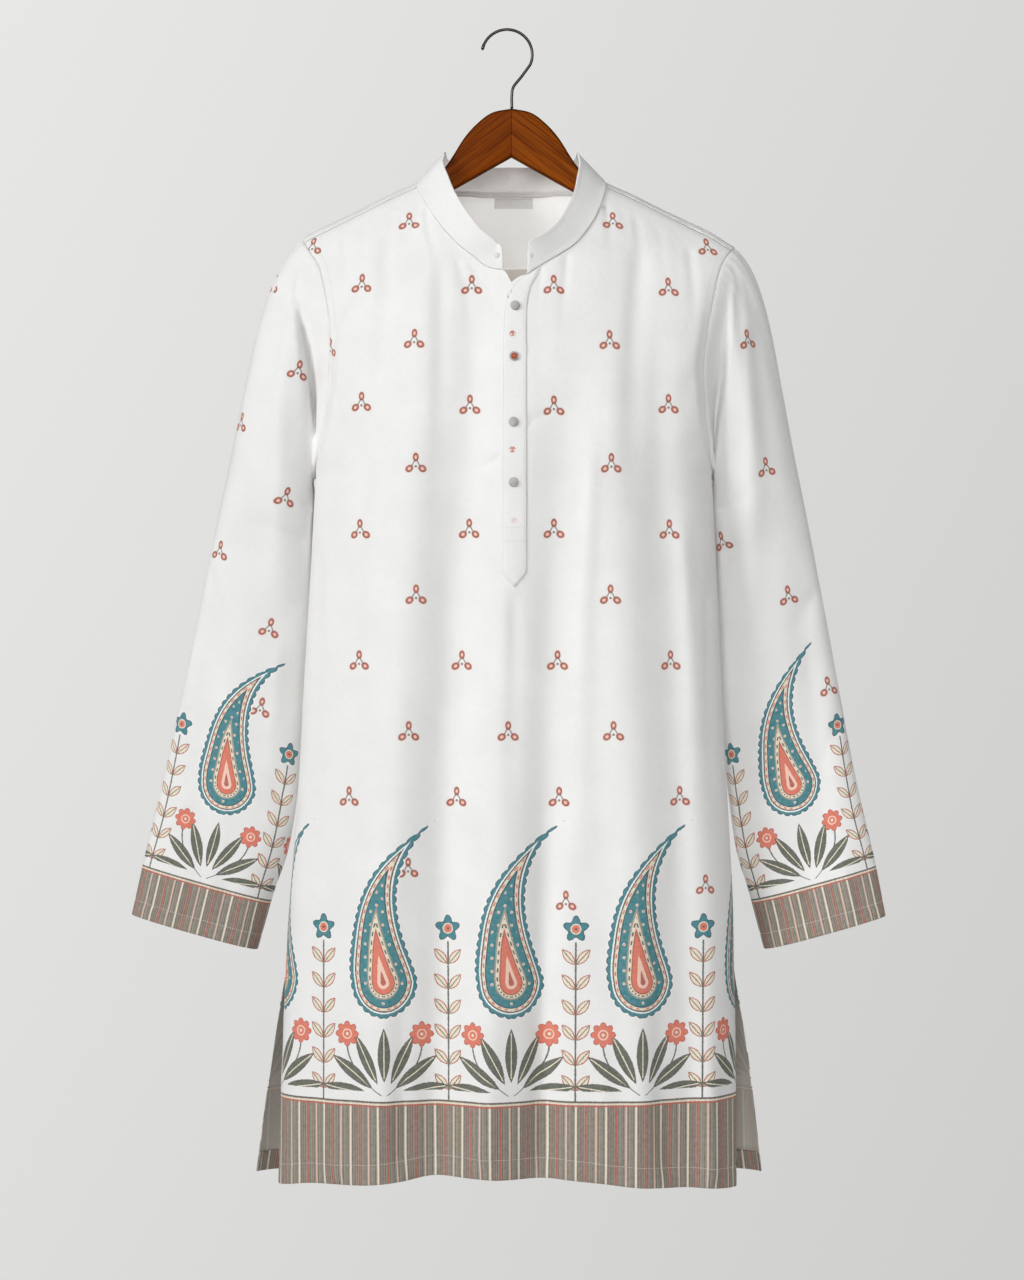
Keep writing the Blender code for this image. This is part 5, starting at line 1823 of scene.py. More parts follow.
@dataclass
class Hanger:
    """The wooden hanger, two halves that meet at a mitre, and its wire hook."""

    form: HollowForm
    wire: float = 0.0015
    wire_sides: int = 24
    cap: float = 0.18
    cap_length: float = 0.006
    cap_ramp: float = 0.0006
    hook_centre: tuple[float, float] = (-0.0045, -0.0248)
    hook_radius: float = 0.0258
    hook_arc: tuple[float, float] = (170, -22)
    hook_neck: tuple[tuple[float, float], ...] = (
        (0.0172, -0.0378), (0.0096, -0.0480), (0.0022, -0.0575), (0.0004, -0.0660),
    )
    top: float = 0.0800
    bottom: float = 0.1300
    half_thickness: float = 0.0055
    edge: float = 0.0040
    clearance: float = 0.0034
    sharp_angle: float = 50.0
    dome: tuple[tuple[float, float], ...] = (
        (0.0200, 0.0843), (0.0358, 0.0960), (0.0483, 0.1101), (0.0592, 0.1273),
    )
    neck: tuple[tuple[float, float], ...] = ((0.0670, 0.1388), (0.0800, 0.1522), (0.0951, 0.1645))
    arm: tuple[float, ...] = (0.1120, 0.1250, 0.1410, 0.1570, 0.1720)
    arm_end: tuple[tuple[float, float], ...] = (
        (0.1860, 0.2025), (0.1915, 0.2080), (0.1905, 0.2145), (0.1840, 0.2165),
    )
    lower: tuple[tuple[float, float], ...] = (
        (0.1700, 0.2115), (0.1300, 0.1965), (0.0900, 0.1792), (0.0578, 0.1624),
    )

    @staticmethod
    def smooth_path(points: Iterable[tuple[float, float]], steps: int) -> list[Array]:
        """Points read from a smooth curve through the given ones.

        Args:
            points: The given points.
            steps: How many points replace each given one.

        Returns:
            The points, the last given one included.
        """
        given = [np.array(point, float) for point in points]
        given = [2 * given[0] - given[1], *given, 2 * given[-1] - given[-2]]
        path = []
        for a, b, c, d in zip(given, given[1:], given[2:], given[3:]):
            for i in range(steps):
                t = i / steps
                curved = (2 * a - 5 * b + 4 * c - d) * t**2 + (3 * b - a - 3 * c + d) * t**3
                path.append(b + 0.5 * ((c - a) * t + curved))
        return [*path, given[-2]]

    def hook(self, steel: bpy.types.Material) -> None:
        """The hook, whose tip swells into a small rounded cap.

        Args:
            steel: Its finish.
        """
        x, z = self.hook_centre
        turns = np.radians(np.linspace(*self.hook_arc, 64))
        radius = self.hook_radius
        arc = [(x + radius * math.cos(a), z + radius * math.sin(a)) for a in turns]
        stem = (self.hook_neck[-1][0], 0.0003 - self.top)
        path = [*map(np.array, arc[:-1]), *self.smooth_path([arc[-1], *self.hook_neck, stem], 8)]
        walk = np.cumsum([0.0, *(np.linalg.norm(b - a) for a, b in zip(path, path[1:]))])
        bm = bmesh.new()
        rings = []
        for i, (place, along) in enumerate(zip(path, walk)):
            tangent = unit(path[min(i + 1, len(path) - 1)] - path[max(i - 1, 0)])
            past_cap = float(eased((along - self.cap_length) / self.cap_ramp))
            radius = self.wire * (1 + self.cap - self.cap * past_cap)
            if along < radius:
                radius *= math.sqrt(max(1 - (1 - along / radius) ** 2, 0.02))
            ring = []
            for a in np.linspace(0, math.tau, self.wire_sides, endpoint=False):
                x, z = place + np.array([-tangent[1], tangent[0]]) * math.cos(a) * radius
                ring.append(bm.verts.new((x, math.sin(a) * radius, z)))
            rings.append(ring)
        for a, b in zip(rings, rings[1:]):
            for i in range(self.wire_sides):
                j = (i + 1) % self.wire_sides
                bm.faces.new((a[i], a[j], b[j], b[i]))
        bm.faces.new(rings[0][::-1])
        bm.faces.new(rings[-1])
        bmesh.ops.recalc_face_normals(bm, faces=bm.faces)
        finish_piece(solid(bm, "hook_wire", steel), "hook_wire", "hanger_hook")

    def half(self, side: Side, wood: bpy.types.Material) -> None:
        """One wooden half, its edges rounded all the way along.

        Args:
            side: Which half.
            wood: Its finish.
        """
        dome = self.smooth_path([(0.0, self.top), *self.dome, *self.neck], 6)
        upper = [(x, float(self.form.shoulder_down(x)) + self.clearance) for x in self.arm]
        upper = self.smooth_path([tuple(dome[-1]), *upper, self.arm_end[0]], 4)[1:-1]
        end = self.smooth_path(self.arm_end, 6)
        lower = self.smooth_path([self.arm_end[-1], *self.lower, (0.0, self.bottom)], 6)[1:]
        past = -self.edge  # so that the mitre itself is cut flat, without a round edge
        outline = [(past, self.top), *dome, *upper, *end, *lower, (past, self.bottom + 0.56 * past)]
        name = f"hanger_half_{side.label}"
        curve = bpy.data.curves.new(name, "CURVE")
        curve.dimensions = "2D"
        curve.fill_mode = "BOTH"
        curve.extrude = self.half_thickness - self.edge
        curve.bevel_depth = self.edge
        curve.bevel_resolution = 4
        curve.offset = -self.edge
        spline = curve.splines.new("POLY")
        spline.points.add(len(outline) - 1)
        spline.use_cyclic_u = True
        for point, (x, down) in zip(spline.points, outline):
            point.co = (side.value * x, -float(down), 0.0, 1.0)
        drawn = new_object(name, curve)
        graph = bpy.context.evaluated_depsgraph_get()
        mesh = bpy.data.meshes.new_from_object(drawn.evaluated_get(graph))
        bpy.data.objects.remove(drawn, do_unlink=True)
        bm = bmesh.new()
        bm.from_mesh(mesh)
        for vert in bm.verts:
            x, y, z = vert.co
            vert.co = Vector((side.value * max(side.value * x, 0.0), -z, y))
        bmesh.ops.remove_doubles(bm, verts=bm.verts, dist=1e-5)
        bmesh.ops.recalc_face_normals(bm, faces=bm.faces)
        bm.to_mesh(mesh)
        bm.free()
        mesh.materials.clear()
        mesh.materials.append(wood)
        mesh.shade_smooth()
        mesh.set_sharp_from_angle(angle=math.radians(self.sharp_angle))
        finish_piece(new_object(name, mesh), "varnished_wood", f"hanger_arm_{side.label}")


def rgb(red: float, green: float, blue: float) -> tuple[float, float, float, float]:
    """A colour given by its display values from 0 to 255, as the shader wants it.

    Args:
        red: The red value.
        green: The green value.
        blue: The blue value.

    Returns:
        The linear colour and a full alpha.
    """
    values = [value / 255 for value in (red, green, blue)]
    light = [v / 12.92 if v <= 0.04045 else ((v + 0.055) / 1.055) ** 2.4 for v in values]
    return (light[0], light[1], light[2], 1.0)


def feed(tree: bpy.types.NodeTree, slot: bpy.types.NodeSocket, value: "Value") -> None:
    """Links a node's input to a signal or a socket, or sets it to a constant.

    Args:
        tree: The node tree.
        slot: The input.
        value: What goes into it.
    """
    source = value.socket if isinstance(value, Signal) else value
    if isinstance(source, bpy.types.NodeSocket):
        tree.links.new(source, slot)
    else:
        slot.default_value = source


class Signal:
    """A number in a shader's node tree, which takes part in arithmetic as a number would."""

    def __init__(self, tree: bpy.types.NodeTree, socket: bpy.types.NodeSocket) -> None:
        """Wraps one output socket of a node."""
        self.tree, self.socket = tree, socket

    def math(self, operation: str, *others: "Signal | float", clamp: bool = False) -> "Signal":
        """Feeds this value and others through one math node.

        Args:
            operation: What the node does.
            others: The values after this one.
            clamp: Whether the outcome is kept from 0 to 1.

        Returns:
            The node's outcome.
        """
        node = self.tree.nodes.new("ShaderNodeMath")
        node.operation = operation
        node.use_clamp = clamp
        for slot, value in zip(node.inputs, (self, *others)):
            feed(self.tree, slot, value)
        return Signal(self.tree, node.outputs[0])

    def __add__(self, other: "Signal | float") -> "Signal":
        """The sum of two values."""
        return self.math("ADD", other)

    def __sub__(self, other: "Signal | float") -> "Signal":
        """This value less another."""
        return self.math("SUBTRACT", other)

    def __rsub__(self, other: float) -> "Signal":
        """A number less this value."""
        return self.math("MULTIPLY_ADD", -1.0, other)

    def __mul__(self, other: "Signal | float") -> "Signal":
        """The product of two values."""
        return self.math("MULTIPLY", other)

    def __truediv__(self, other: "Signal | float") -> "Signal":
        """This value divided by another."""
        return self.math("DIVIDE", other)

    def __mod__(self, other: float) -> "Signal":
        """What is left of this value after whole steps of a number."""
        return self.math("FLOORED_MODULO", other)

    def __abs__(self) -> "Signal":
        """The value without its sign."""
        return self.math("ABSOLUTE")

    __radd__, __rmul__ = __add__, __mul__

    def above(self, edge: "Signal | float", soft: float = 0.25) -> "Signal":
        """One where the value is above an edge and nothing below it, with a short ramp.

        Args:
            edge: The edge.
            soft: The length of the ramp.

        Returns:
            The share.
        """
        if isinstance(edge, Signal):
            return (self - edge).above(0.0, soft)
        return self.math("MULTIPLY_ADD", 1 / soft, 0.5 - edge / soft, clamp=True)

    def below(self, edge: "Signal | float", soft: float = 0.25) -> "Signal":
        """One where the value is below an edge and nothing above it, with a short ramp.

        Args:
            edge: The edge.
            soft: The length of the ramp.

        Returns:
            The share.
        """
        if isinstance(edge, Signal):
            return (edge - self).above(0.0, soft)
        return self.math("MULTIPLY_ADD", -1 / soft, 0.5 + edge / soft, clamp=True)

    def between(self, low: float, high: float, soft: float = 0.25) -> "Signal":
        """One between two edges."""
        return self.above(low, soft) * self.below(high, soft)

    def lowest(self, other: "Signal | float") -> "Signal":
        """The smaller of two values."""
        return self.math("MINIMUM", other)

    def highest(self, other: "Signal | float") -> "Signal":
        """The greater of two values."""
        return self.math("MAXIMUM", other)

    def squared(self) -> "Signal":
        """The value times itself."""
        return self * self

    def from_point(self, other: "Signal") -> "Signal":
        """The length of the vector of two coordinates."""
        return other.math("MULTIPLY_ADD", other, self.squared()).math("SQRT")

    def angle(self, other: "Signal") -> "Signal":
        """The angle from the second coordinate's axis towards the first's."""
        return self.math("ARCTAN2", other)


Value = Signal | bpy.types.NodeSocket | float | tuple[float, ...]


class Look:
    """A material that is put together from signals and layers of colour."""

    def __init__(self, name: str) -> None:
        """Starts a material of one's own with a plain shader.

        Args:
            name: The material's name.
        """
        self.material = bpy.data.materials.new(name)
        self.material.use_nodes = True
        self.tree = self.material.node_tree
        self.shader = self.tree.nodes["Principled BSDF"]

    def node(self, kind: str, **inputs: "Value") -> bpy.types.Node:
        """Adds one shader node.

        Args:
            kind: The kind of node.
            inputs: What goes into its inputs, each by its name.

        Returns:
            The node.
        """
        node = self.tree.nodes.new(f"ShaderNode{kind}")
        for name, value in inputs.items():
            feed(self.tree, node.inputs[name], value)
        return node

    def set(self, **values: "Value") -> None:
        """Feeds the material's shader, its inputs given as Base_Color, Roughness and so on."""
        for name, value in values.items():
            feed(self.tree, self.shader.inputs[name.replace("_", " ")], value)

    def split(self, socket: bpy.types.NodeSocket) -> tuple[Signal, Signal, Signal]:
        """The three parts of a vector.

        Args:
            socket: The vector's socket.

        Returns:
            The parts along X, Y and Z.
        """
        outputs = self.node("SeparateXYZ", Vector=socket).outputs
        x, y, z = (Signal(self.tree, out) for out in outputs)
        return x, y, z

    def joined(self, *parts: Signal | float) -> bpy.types.NodeSocket:
        """A vector of signals and numbers.

        Args:
            parts: Up to three of them.

        Returns:
            The vector's socket.
        """
        return self.node("CombineXYZ", **dict(zip("XYZ", parts))).outputs[0]

    def place(self) -> tuple[Signal, Signal, Signal]:
        """The place on the object in millimetres."""
        x, y, z = self.split(self.node("TexCoord").outputs["Object"])
        return x * 1000, y * 1000, z * 1000

    def flat(self, name: str, scale: float = 1.0) -> tuple[Signal, Signal]:
        """The place on a flat map, in millimetres at the given scale.

        Args:
            name: The map's name.
            scale: The scale.

        Returns:
            The two coordinates.
        """
        node = self.node("UVMap")
        node.uv_map = name
        x, y, _ = self.split(node.outputs[0])
        return x * (1000 * scale), y * (1000 * scale)

    def noise(self, *parts: Signal | float, detail: float = 2.0, roughness: float = 0.5) -> Signal:
        """Smooth uneven values from 0 to 1 at a place that is given in waves.

        Args:
            parts: The place, up to three coordinates.
            detail: How many finer layers there are.
            roughness: How strong the finer layers are.

        Returns:
            The value.
        """
        place = self.joined(*parts)
        node = self.node("TexNoise", Scale=1.0, Detail=detail, Roughness=roughness, Vector=place)
        return Signal(self.tree, node.outputs["Fac"])

    def over(
        self,
        below: bpy.types.NodeSocket,
        colour: tuple[float, ...] | bpy.types.NodeSocket,
        share: Signal | float,
    ) -> bpy.types.NodeSocket:
        """Lays a colour over another one as far as the share goes.

        Args:
            below: The colour that is there.
            colour: The colour laid over it.
            share: How far it covers the other one.

        Returns:
            The mixed colour's socket.
        """
        node = self.node("Mix")
        node.data_type = "RGBA"
        slots = [slot for slot in node.inputs if slot.type == "RGBA"]
        for slot, value in zip((*slots, node.inputs["Factor"]), (below, colour, share)):
            feed(self.tree, slot, value)
        return next(out for out in node.outputs if out.type == "RGBA")

    def flood(self, colour: tuple[float, ...]) -> bpy.types.NodeSocket:
        """One colour everywhere.

        Args:
            colour: The colour.

        Returns:
            The colour's socket.
        """
        node = self.node("RGB")
        node.outputs[0].default_value = colour
        return node.outputs[0]

    def bump(self, height: Signal) -> None:
        """Roughens the surface by a height in millimetres.

        Args:
            height: The height.
        """
        bump = self.node("Bump", Strength=1.0, Distance=0.001, Height=height)
        self.set(Normal=bump.outputs["Normal"])


@dataclass(frozen=True)
class Dyes:
    """The colours of the cloth and of its print."""

    cloth: tuple[float, ...] = rgb(242, 242, 241)
    shade: tuple[float, ...] = rgb(228, 227, 225)
    coral: tuple[float, ...] = rgb(221, 112, 86)
    rust: tuple[float, ...] = rgb(184, 84, 66)
    brick: tuple[float, ...] = rgb(116, 46, 33)
    clay: tuple[float, ...] = rgb(180, 82, 62)
    peach: tuple[float, ...] = rgb(245, 204, 184)
    teal: tuple[float, ...] = rgb(28, 122, 132)
    navy: tuple[float, ...] = rgb(16, 62, 86)
    taupe: tuple[float, ...] = rgb(158, 150, 134)
    umber: tuple[float, ...] = rgb(92, 82, 72)
    leaf: tuple[float, ...] = rgb(82, 88, 72)
    cream: tuple[float, ...] = rgb(232, 222, 200)


class Cotton(Look):
    """Plain-woven cotton."""

    THREAD = 1.4

    def __init__(self, name: str, dyes: Dyes = Dyes()) -> None:
        """Makes the weave and the cloth's own colour.

        Args:
            name: The material's name.
            dyes: The colours.
        """
        super().__init__(name)
        self.dyes = dyes
        self.u, self.v = self.flat("cloth")
        warp = (self.u * (math.tau / self.THREAD)).math("SINE")
        weft = (self.v * (math.tau / self.THREAD)).math("SINE")
        weave = warp * weft * 0.010
        along = self.noise(self.u * 0.10, self.v * 1.3, 3.0)
        slubs = along + self.noise(self.u * 1.3, self.v * 0.10, 7.0)
        crumpled = self.noise(self.u * 0.075, self.v * 0.055, 11.0, detail=4.0, roughness=0.55)
        self.bump(weave + slubs * 0.035 + crumpled * 0.55)
        mottled = self.noise(self.u * 0.02, self.v * 0.02, 2.0, detail=3.0)
        base = self.over(self.flood(dyes.cloth), dyes.shade, mottled.between(0.45, 0.9, 0.5) * 0.5)
        self.base = self.over(base, dyes.shade, slubs.above(1.12, 0.3) * 0.35)
        self.set(Base_Color=self.base)
        self.set(Roughness=mottled * 0.10 + 0.80)
        self.set(Sheen_Weight=0.12, Sheen_Roughness=0.5, Specular_IOR_Level=0.25)


class PrintedCotton(Cotton):
    """Cotton with small trefoils all over and a deep border above a striped band."""

    CELL = 135.0  # from one drop to the next, in millimetres of print
    OUTLINE = 0.012  # how soft the drop's outlines are, as a share of its size

    def __init__(
        self, name: str, scale: float = 1.0, strength: float = 0.94, dyes: Dyes = Dyes()
    ) -> None:
        """Prints the cloth.

        Args:
            name: The material's name.
            scale: How many millimetres of print one millimetre of cloth holds.
            strength: How strongly the print shows.
            dyes: The colours.
        """
        super().__init__(name, dyes)
        bleed = self.bleed = self.noise(self.u * 0.55, self.v * 0.55, 5.0) - 0.5
        drift = self.drift = self.noise(self.u * 0.55, self.v * 0.55, 9.0) - 0.5
        self.ink = self.base
        self.trefoils()
        x = (self.u * scale + bleed * 1.3 + self.CELL / 2) % self.CELL - self.CELL / 2
        y = self.v * scale + drift * 1.3
        self.stripes(self.u * scale + bleed * 0.7, y)
        self.sprig(self.CELL / 2 - abs(x), y)
        self.palmette(x, y)
        self.boteh(x, y)
        worn = self.noise(self.u * 0.22, self.v * 0.22, 1.0, detail=5.0, roughness=0.65)
        held = worn.math("MULTIPLY_ADD", -0.30, strength + 0.12, clamp=True)
        self.set(Base_Color=self.over(self.base, self.ink, held))

    def lay(self, colour: tuple[float, ...], share: Signal) -> None:
        """Prints one colour."""
        self.ink = self.over(self.ink, colour, share)

    def nest(self, value: Signal, soft: float, *steps: tuple[tuple[float, ...], float]) -> None:
        """Prints colours one on another, each where the value is below its edge."""
        for colour, edge in steps:
            self.lay(colour, value.below(edge, soft))

    def trefoils(self) -> None:
        """The small motif: three rings about a dot, joined by fine lines."""
        x, y = self.flat("buti")
        x, y = x + self.bleed * 0.5, y + self.drift * 0.5
        across = abs(x)
        top = (x / 2.9).from_point((y - 9.2) / 4.3)
        aside, up = across - 6.5, y + 2.1
        cos, sin = math.cos(math.radians(35)), math.sin(math.radians(35))
        side = ((aside * cos - up * sin) / 4.2).from_point((aside * sin + up * cos) / 3.4)
        ring = top.lowest(side)
        self.lay(self.dyes.peach, ring.below(1.30, 0.3) * 0.35)
        self.lay(self.dyes.brick, ring.below(1.0, 0.18))
        self.lay(self.dyes.clay, ring.below(0.78, 0.2))
        self.lay(self.dyes.peach, ring.below(0.40, 0.3))
        line = abs((across - 1.5) * 0.877 + (y - 5.2) * 0.48).below(0.60, 0.35)
        line = line * y.between(0.9, 6.0, 0.5)
        dot = x.from_point(y).below(1.25, 0.5)
        near = across.below(12.0)
        self.lay(self.dyes.umber, (line * near).highest(dot) * 0.85)

    def stripes(self, u: Signal, y: Signal) -> None:
        """The upright stripes below the border.

        Args:
            u: The place across the cloth, in millimetres of print.
            y: The place above the border's foot.
        """
        band = y.below(0.0, 0.5)
        self.lay(self.dyes.taupe, band)
        self.lay(self.dyes.umber, band * 0.24)
        fine, wide = u % 5.0, u % 30.0
        self.lay(self.dyes.umber, band * fine.between(2.6, 4.2, 0.5) * 0.40)
        self.lay(self.dyes.brick, band * wide.between(11.2, 14.0, 0.6) * 0.30)
        self.lay(self.dyes.cream, band * wide.between(7.3, 9.2, 0.4))
        self.lay(self.dyes.clay, band * wide.between(17.4, 19.2, 0.4))
        self.lay(self.dyes.peach, band * wide.between(27.6, 29.0, 0.4) * 0.8)
        self.lay(self.dyes.umber, band * fine.below(0.8, 0.4))
        self.lay(self.dyes.umber, y.between(-1.5, 0.2, 0.4))
        self.lay(self.dyes.cream, y.between(-3.6, -1.7, 0.4) * 0.9)
        self.lay(self.dyes.rust, y.between(-5.4, -3.8, 0.4))

    def sprig(self, x: Signal, y: Signal) -> None:
        """An upright stem with pairs of leaves and a flower on top.

        Args:
            x: The place across, from the motif's middle, in millimetres of print.
            y: The place above the border's foot.
        """
        dyes = self.dyes
        rising = y.between(0.0, 158.0, 0.5)
        cos, sin = math.cos(math.radians(48)), math.sin(math.radians(48))
        step = (y - 8.0) % 25.0 - 2.0
        along, aside = x * cos + step * sin, step * cos - x * sin
        leaf = 4.6 - ((along - 11.0) / 10.5).squared() * 4.6 - abs(aside)
        leaves = y.between(9.0, 158.0, 0.5)
        self.lay(dyes.rust, leaf.above(0.0) * leaves)
        self.lay(dyes.cream, leaf.above(1.1) * leaves)
        self.lay(dyes.leaf, abs(aside).below(0.45) * leaf.above(1.3) * leaves)
        self.lay(dyes.leaf, x.below(0.9) * rising)
        up = y - 171.0
        radius, turn = x.from_point(up), x.angle(up)
        petals = (turn * 5.0).math("COSINE") * 2.6 + 11.0 - radius
        self.lay(dyes.navy, petals.above(0.0))
        self.lay(dyes.teal, petals.above(1.2))
        self.nest(radius, 0.25, (dyes.cream, 5.4), (dyes.coral, 4.2), (dyes.umber, 1.3))

    def palmette(self, x: Signal, y: Signal) -> None:
        """A fan of leaves on the band with a rosette on either side.

        Args:
            x: The place across, from the motif's middle, in millimetres of print.
            y: The place above the border's foot.
        """
        dyes = self.dyes
        across = abs(x)
        up = y - 4.0
        radius, turn = x.from_point(up), x.angle(up)
        step = math.radians(27)
        near = (turn + step / 2) % step - step / 2
        aside = abs(near * radius)
        leaf = 6.4 - ((radius - 42.0) / 27.0).squared() * 6.4 - aside
        fan = up.above(6.0, 0.5)
        self.lay(dyes.umber, leaf.above(0.0) * fan)
        self.lay(dyes.leaf, leaf.above(1.1) * fan)
        self.lay(dyes.cream, aside.below(0.55) * leaf.above(1.6) * fan)
        bend = ((56.0 - y) / 52.0).squared()
        stalk = abs(across - (1.0 - bend) * 40.0).below(0.8) * y.between(6.0, 58.0, 0.5)
        self.lay(dyes.leaf, stalk)
        aside, up = across - 40.0, y - 66.0
        radius, turn = aside.from_point(up), aside.angle(up)
        petals = abs((turn * 4.0).math("COSINE")) * 3.4 + 9.4 - radius
        self.lay(dyes.rust, petals.above(0.0))
        self.lay(dyes.coral, petals.above(1.0))
        self.nest(radius, 0.25, (dyes.peach, 5.2), (dyes.coral, 3.8), (dyes.cream, 1.6))

    def boteh(self, x: Signal, y: Signal) -> None:
        """A curved drop with nested outlines and a scalloped rim.

        Args:
            x: The place across, from the motif's middle, in millimetres of print.
            y: The place above the border's foot.
        """
        dyes = self.dyes
        up = y - 118.0
        rise = (up / 150.0).lowest(1.2).highest(0.0)
        bent = x + (rise * math.pi).math("SINE") * 9.0 - rise.squared().squared() * 40.0
        radius = bent.from_point(up)
        turn = abs(bent.angle(up))
        tail = (turn * -5.0).math("EXPONENT") * 92.0
        reach = tail + (turn.squared() * -1.6).math("EXPONENT") * 14.0 + 30.0
        share = radius / reach
        below = up * -1.0
        arc = up.highest(0.0) - below.highest(0.0).angle(abs(bent)) * 32.0
        scallop = abs((arc * 0.36).math("SINE"))
        beads = (arc * 0.72).math("COSINE")
        here = share.below(1.3)
        soft = self.OUTLINE
        self.lay(dyes.cloth, share.below(scallop * 0.07 + 1.17, soft))
        self.lay(dyes.navy, share.below(scallop * 0.07 + 1.12, soft) * here)
        self.lay(dyes.teal, share.below(scallop * 0.07 + 1.09, soft))
        self.nest(share, soft, (dyes.cloth, 1.035), (dyes.umber, 0.985), (dyes.cream, 0.935))
        self.lay(dyes.coral, share.between(0.865, 0.915, soft) * beads.above(0.1, 0.4))
        self.nest(share, soft, (dyes.navy, 0.84), (dyes.teal, 0.80))
        lattice = ((x + y) % 13.0 - 6.5).from_point((x - y) % 13.0 - 6.5)
        for colour, edge in ((dyes.cream, 2.1), (dyes.coral, 1.0)):
            self.lay(colour, lattice.below(edge, 0.4) * share.below(0.76, 0.02))
        self.nest(share, soft, (dyes.taupe, 0.56), (dyes.cream, 0.51))
        self.lay(dyes.leaf, share.between(0.43, 0.48, soft) * beads.below(-0.1, 0.4))
        heart = ((dyes.rust, 0.40), (dyes.coral, 0.36), (dyes.peach, 0.20), (dyes.rust, 0.09))
        self.nest(share, soft, *heart)


def placket_cotton(*marks: tuple[float, float, float, float]) -> bpy.types.Material:
    """Plain cotton with a few broken coral marks.

    Args:
        marks: Each mark's place across and up, the seed of its breaks and its strength.

    Returns:
        The material.
    """
    look = Cotton("placket_cotton")
    x, _, z = look.place()
    colour = look.base
    for across, up, seed, strength in marks:
        aside, above = x - across * 1000, z - up * 1000
        away = aside.from_point(above)
        broken = look.noise(x * 0.45, z * 0.45, seed)
        ring = away.between(1.2, 3.0, 0.7) * broken.above(0.47, 0.06)
        colour = look.over(colour, look.dyes.peach, away.below(3.4, 1.0) * strength * 0.5)
        colour = look.over(colour, look.dyes.clay, ring * strength)
        colour = look.over(colour, look.dyes.brick, away.below(1.0, 0.5) * strength * 0.8)
    look.set(Base_Color=colour)
    return look.material


def tape() -> bpy.types.Material:
    """Satin tape with fine cross threads."""
    look = Look("label_tape")
    u, v = look.flat("cloth")
    threads = (v * (math.tau / 0.6)).math("SINE")
    uneven = look.noise(u * 0.4, v * 2.0, 1.0)
    look.bump(threads * 0.008 + uneven * 0.04)
    look.set(Base_Color=look.over(look.flood(rgb(214, 213, 211)), rgb(194, 193, 190), uneven))
    look.set(Roughness=uneven * 0.12 + 0.42, Sheen_Weight=0.2)
    return look.material


def button_shell(
    name: str,
    middle: Sequence[float] | None = None,
    pale: tuple[float, ...] = rgb(198, 196, 192),
    dark: tuple[float, ...] = rgb(164, 162, 158),
) -> bpy.types.Material:
    """Pale grey with a soft sheen, and a coral centre where a middle is given.

    Args:
        name: The material's name.
        middle: The middle of the coral centre.
        pale: The lighter colour.
        dark: The darker colour.

    Returns:
        The material.
    """
    look = Look(name)
    x, y, z = look.place()
    cloudy = look.noise(x * 0.6, y * 0.6, z * 0.6, detail=3.0)
    colour = look.over(look.flood(pale), dark, cloudy)
    if middle is not None:
        aside, up = x - float(middle[0]) * 1000, z - float(middle[2]) * 1000
        away = aside.from_point(up) + cloudy * 0.8
        colour = look.over(colour, rgb(166, 74, 50), away.below(3.7, 0.6))
        colour = look.over(colour, rgb(214, 140, 108), away.below(1.3, 0.5) * 0.7)
    look.set(Base_Color=colour)
    look.bump(look.noise(x * 1.6, y * 1.6, z * 1.6) * 0.22)
    look.set(Roughness=cloudy * 0.12 + 0.42, Specular_IOR_Level=0.3)
    return look.material


def varnished_wood(side: Side, light: tuple[float, ...]) -> bpy.types.Material:
    """Glossy brown wood whose grain runs down and outwards.

    Args:
        side: The hanger's half.
        light: The wood's lighter colour.

    Returns:
        The material.
    """
    look, dark = Look(f"varnished_wood_{side.label}"), rgb(46, 20, 4)
    x, y, z = look.place()
    slant = math.radians(38)
    along = x * (side.value * math.cos(slant)) - z * math.sin(slant)
    across = x * (side.value * math.sin(slant)) + z * math.cos(slant)
    wander = look.noise(along * 0.02, across * 0.07, y * 0.05, detail=3.0)
    grain = across * 0.42 + wander * 1.6
    bands = look.noise(along * 0.012, grain, y * 0.25, detail=5.0, roughness=0.65)
    pores = look.noise(along * 0.10, across * 2.6, y * 2.6, detail=2.0)
    colour = look.over(look.flood(light), rgb(92, 38, 5), bands.above(0.50, 0.22) * 0.75)
    colour = look.over(colour, rgb(70, 28, 4), bands.above(0.60, 0.08) * 0.4)
    colour = look.over(colour, rgb(84, 36, 5), pores.above(0.62, 0.12) * 0.4)
    # darker all round the rounded rim, away from the flat faces
    colour = look.over(colour, dark, y.between(-4.9, 4.9, 0.7) * 0.7)
    colour = look.over(colour, dark, x.between(-0.3, 0.3, 0.3) * 0.8)
    look.set(Base_Color=colour)
    look.bump(bands * 0.05 + pores * 0.03)
    look.set(Roughness=bands * 0.10 + 0.36, Specular_IOR_Level=0.03)
    return look.material


def hook_steel() -> bpy.types.Material:
    """Dark polished wire."""
    look = Look("hook_steel")
    x, y, z = look.place()
    worn = look.noise(x * 0.10, y * 0.10, z * 0.10, detail=2.0)
    look.set(Base_Color=look.over(look.flood(rgb(78, 75, 70)), rgb(62, 59, 55), worn))
    look.set(Roughness=worn * 0.05 + 0.23, Metallic=1.0)
    return look.material


def thread() -> bpy.types.Material:
    """White sewing cotton."""
    look = Look("thread")
    x, y, z = look.place()
    ply = look.noise(x * 2.5, y * 2.5, z * 2.5)
    look.set(Base_Color=look.over(look.flood(rgb(230, 228, 224)), rgb(200, 197, 192), ply))
    look.set(Roughness=ply * 0.2 + 0.6, Sheen_Weight=0.1)
    return look.material


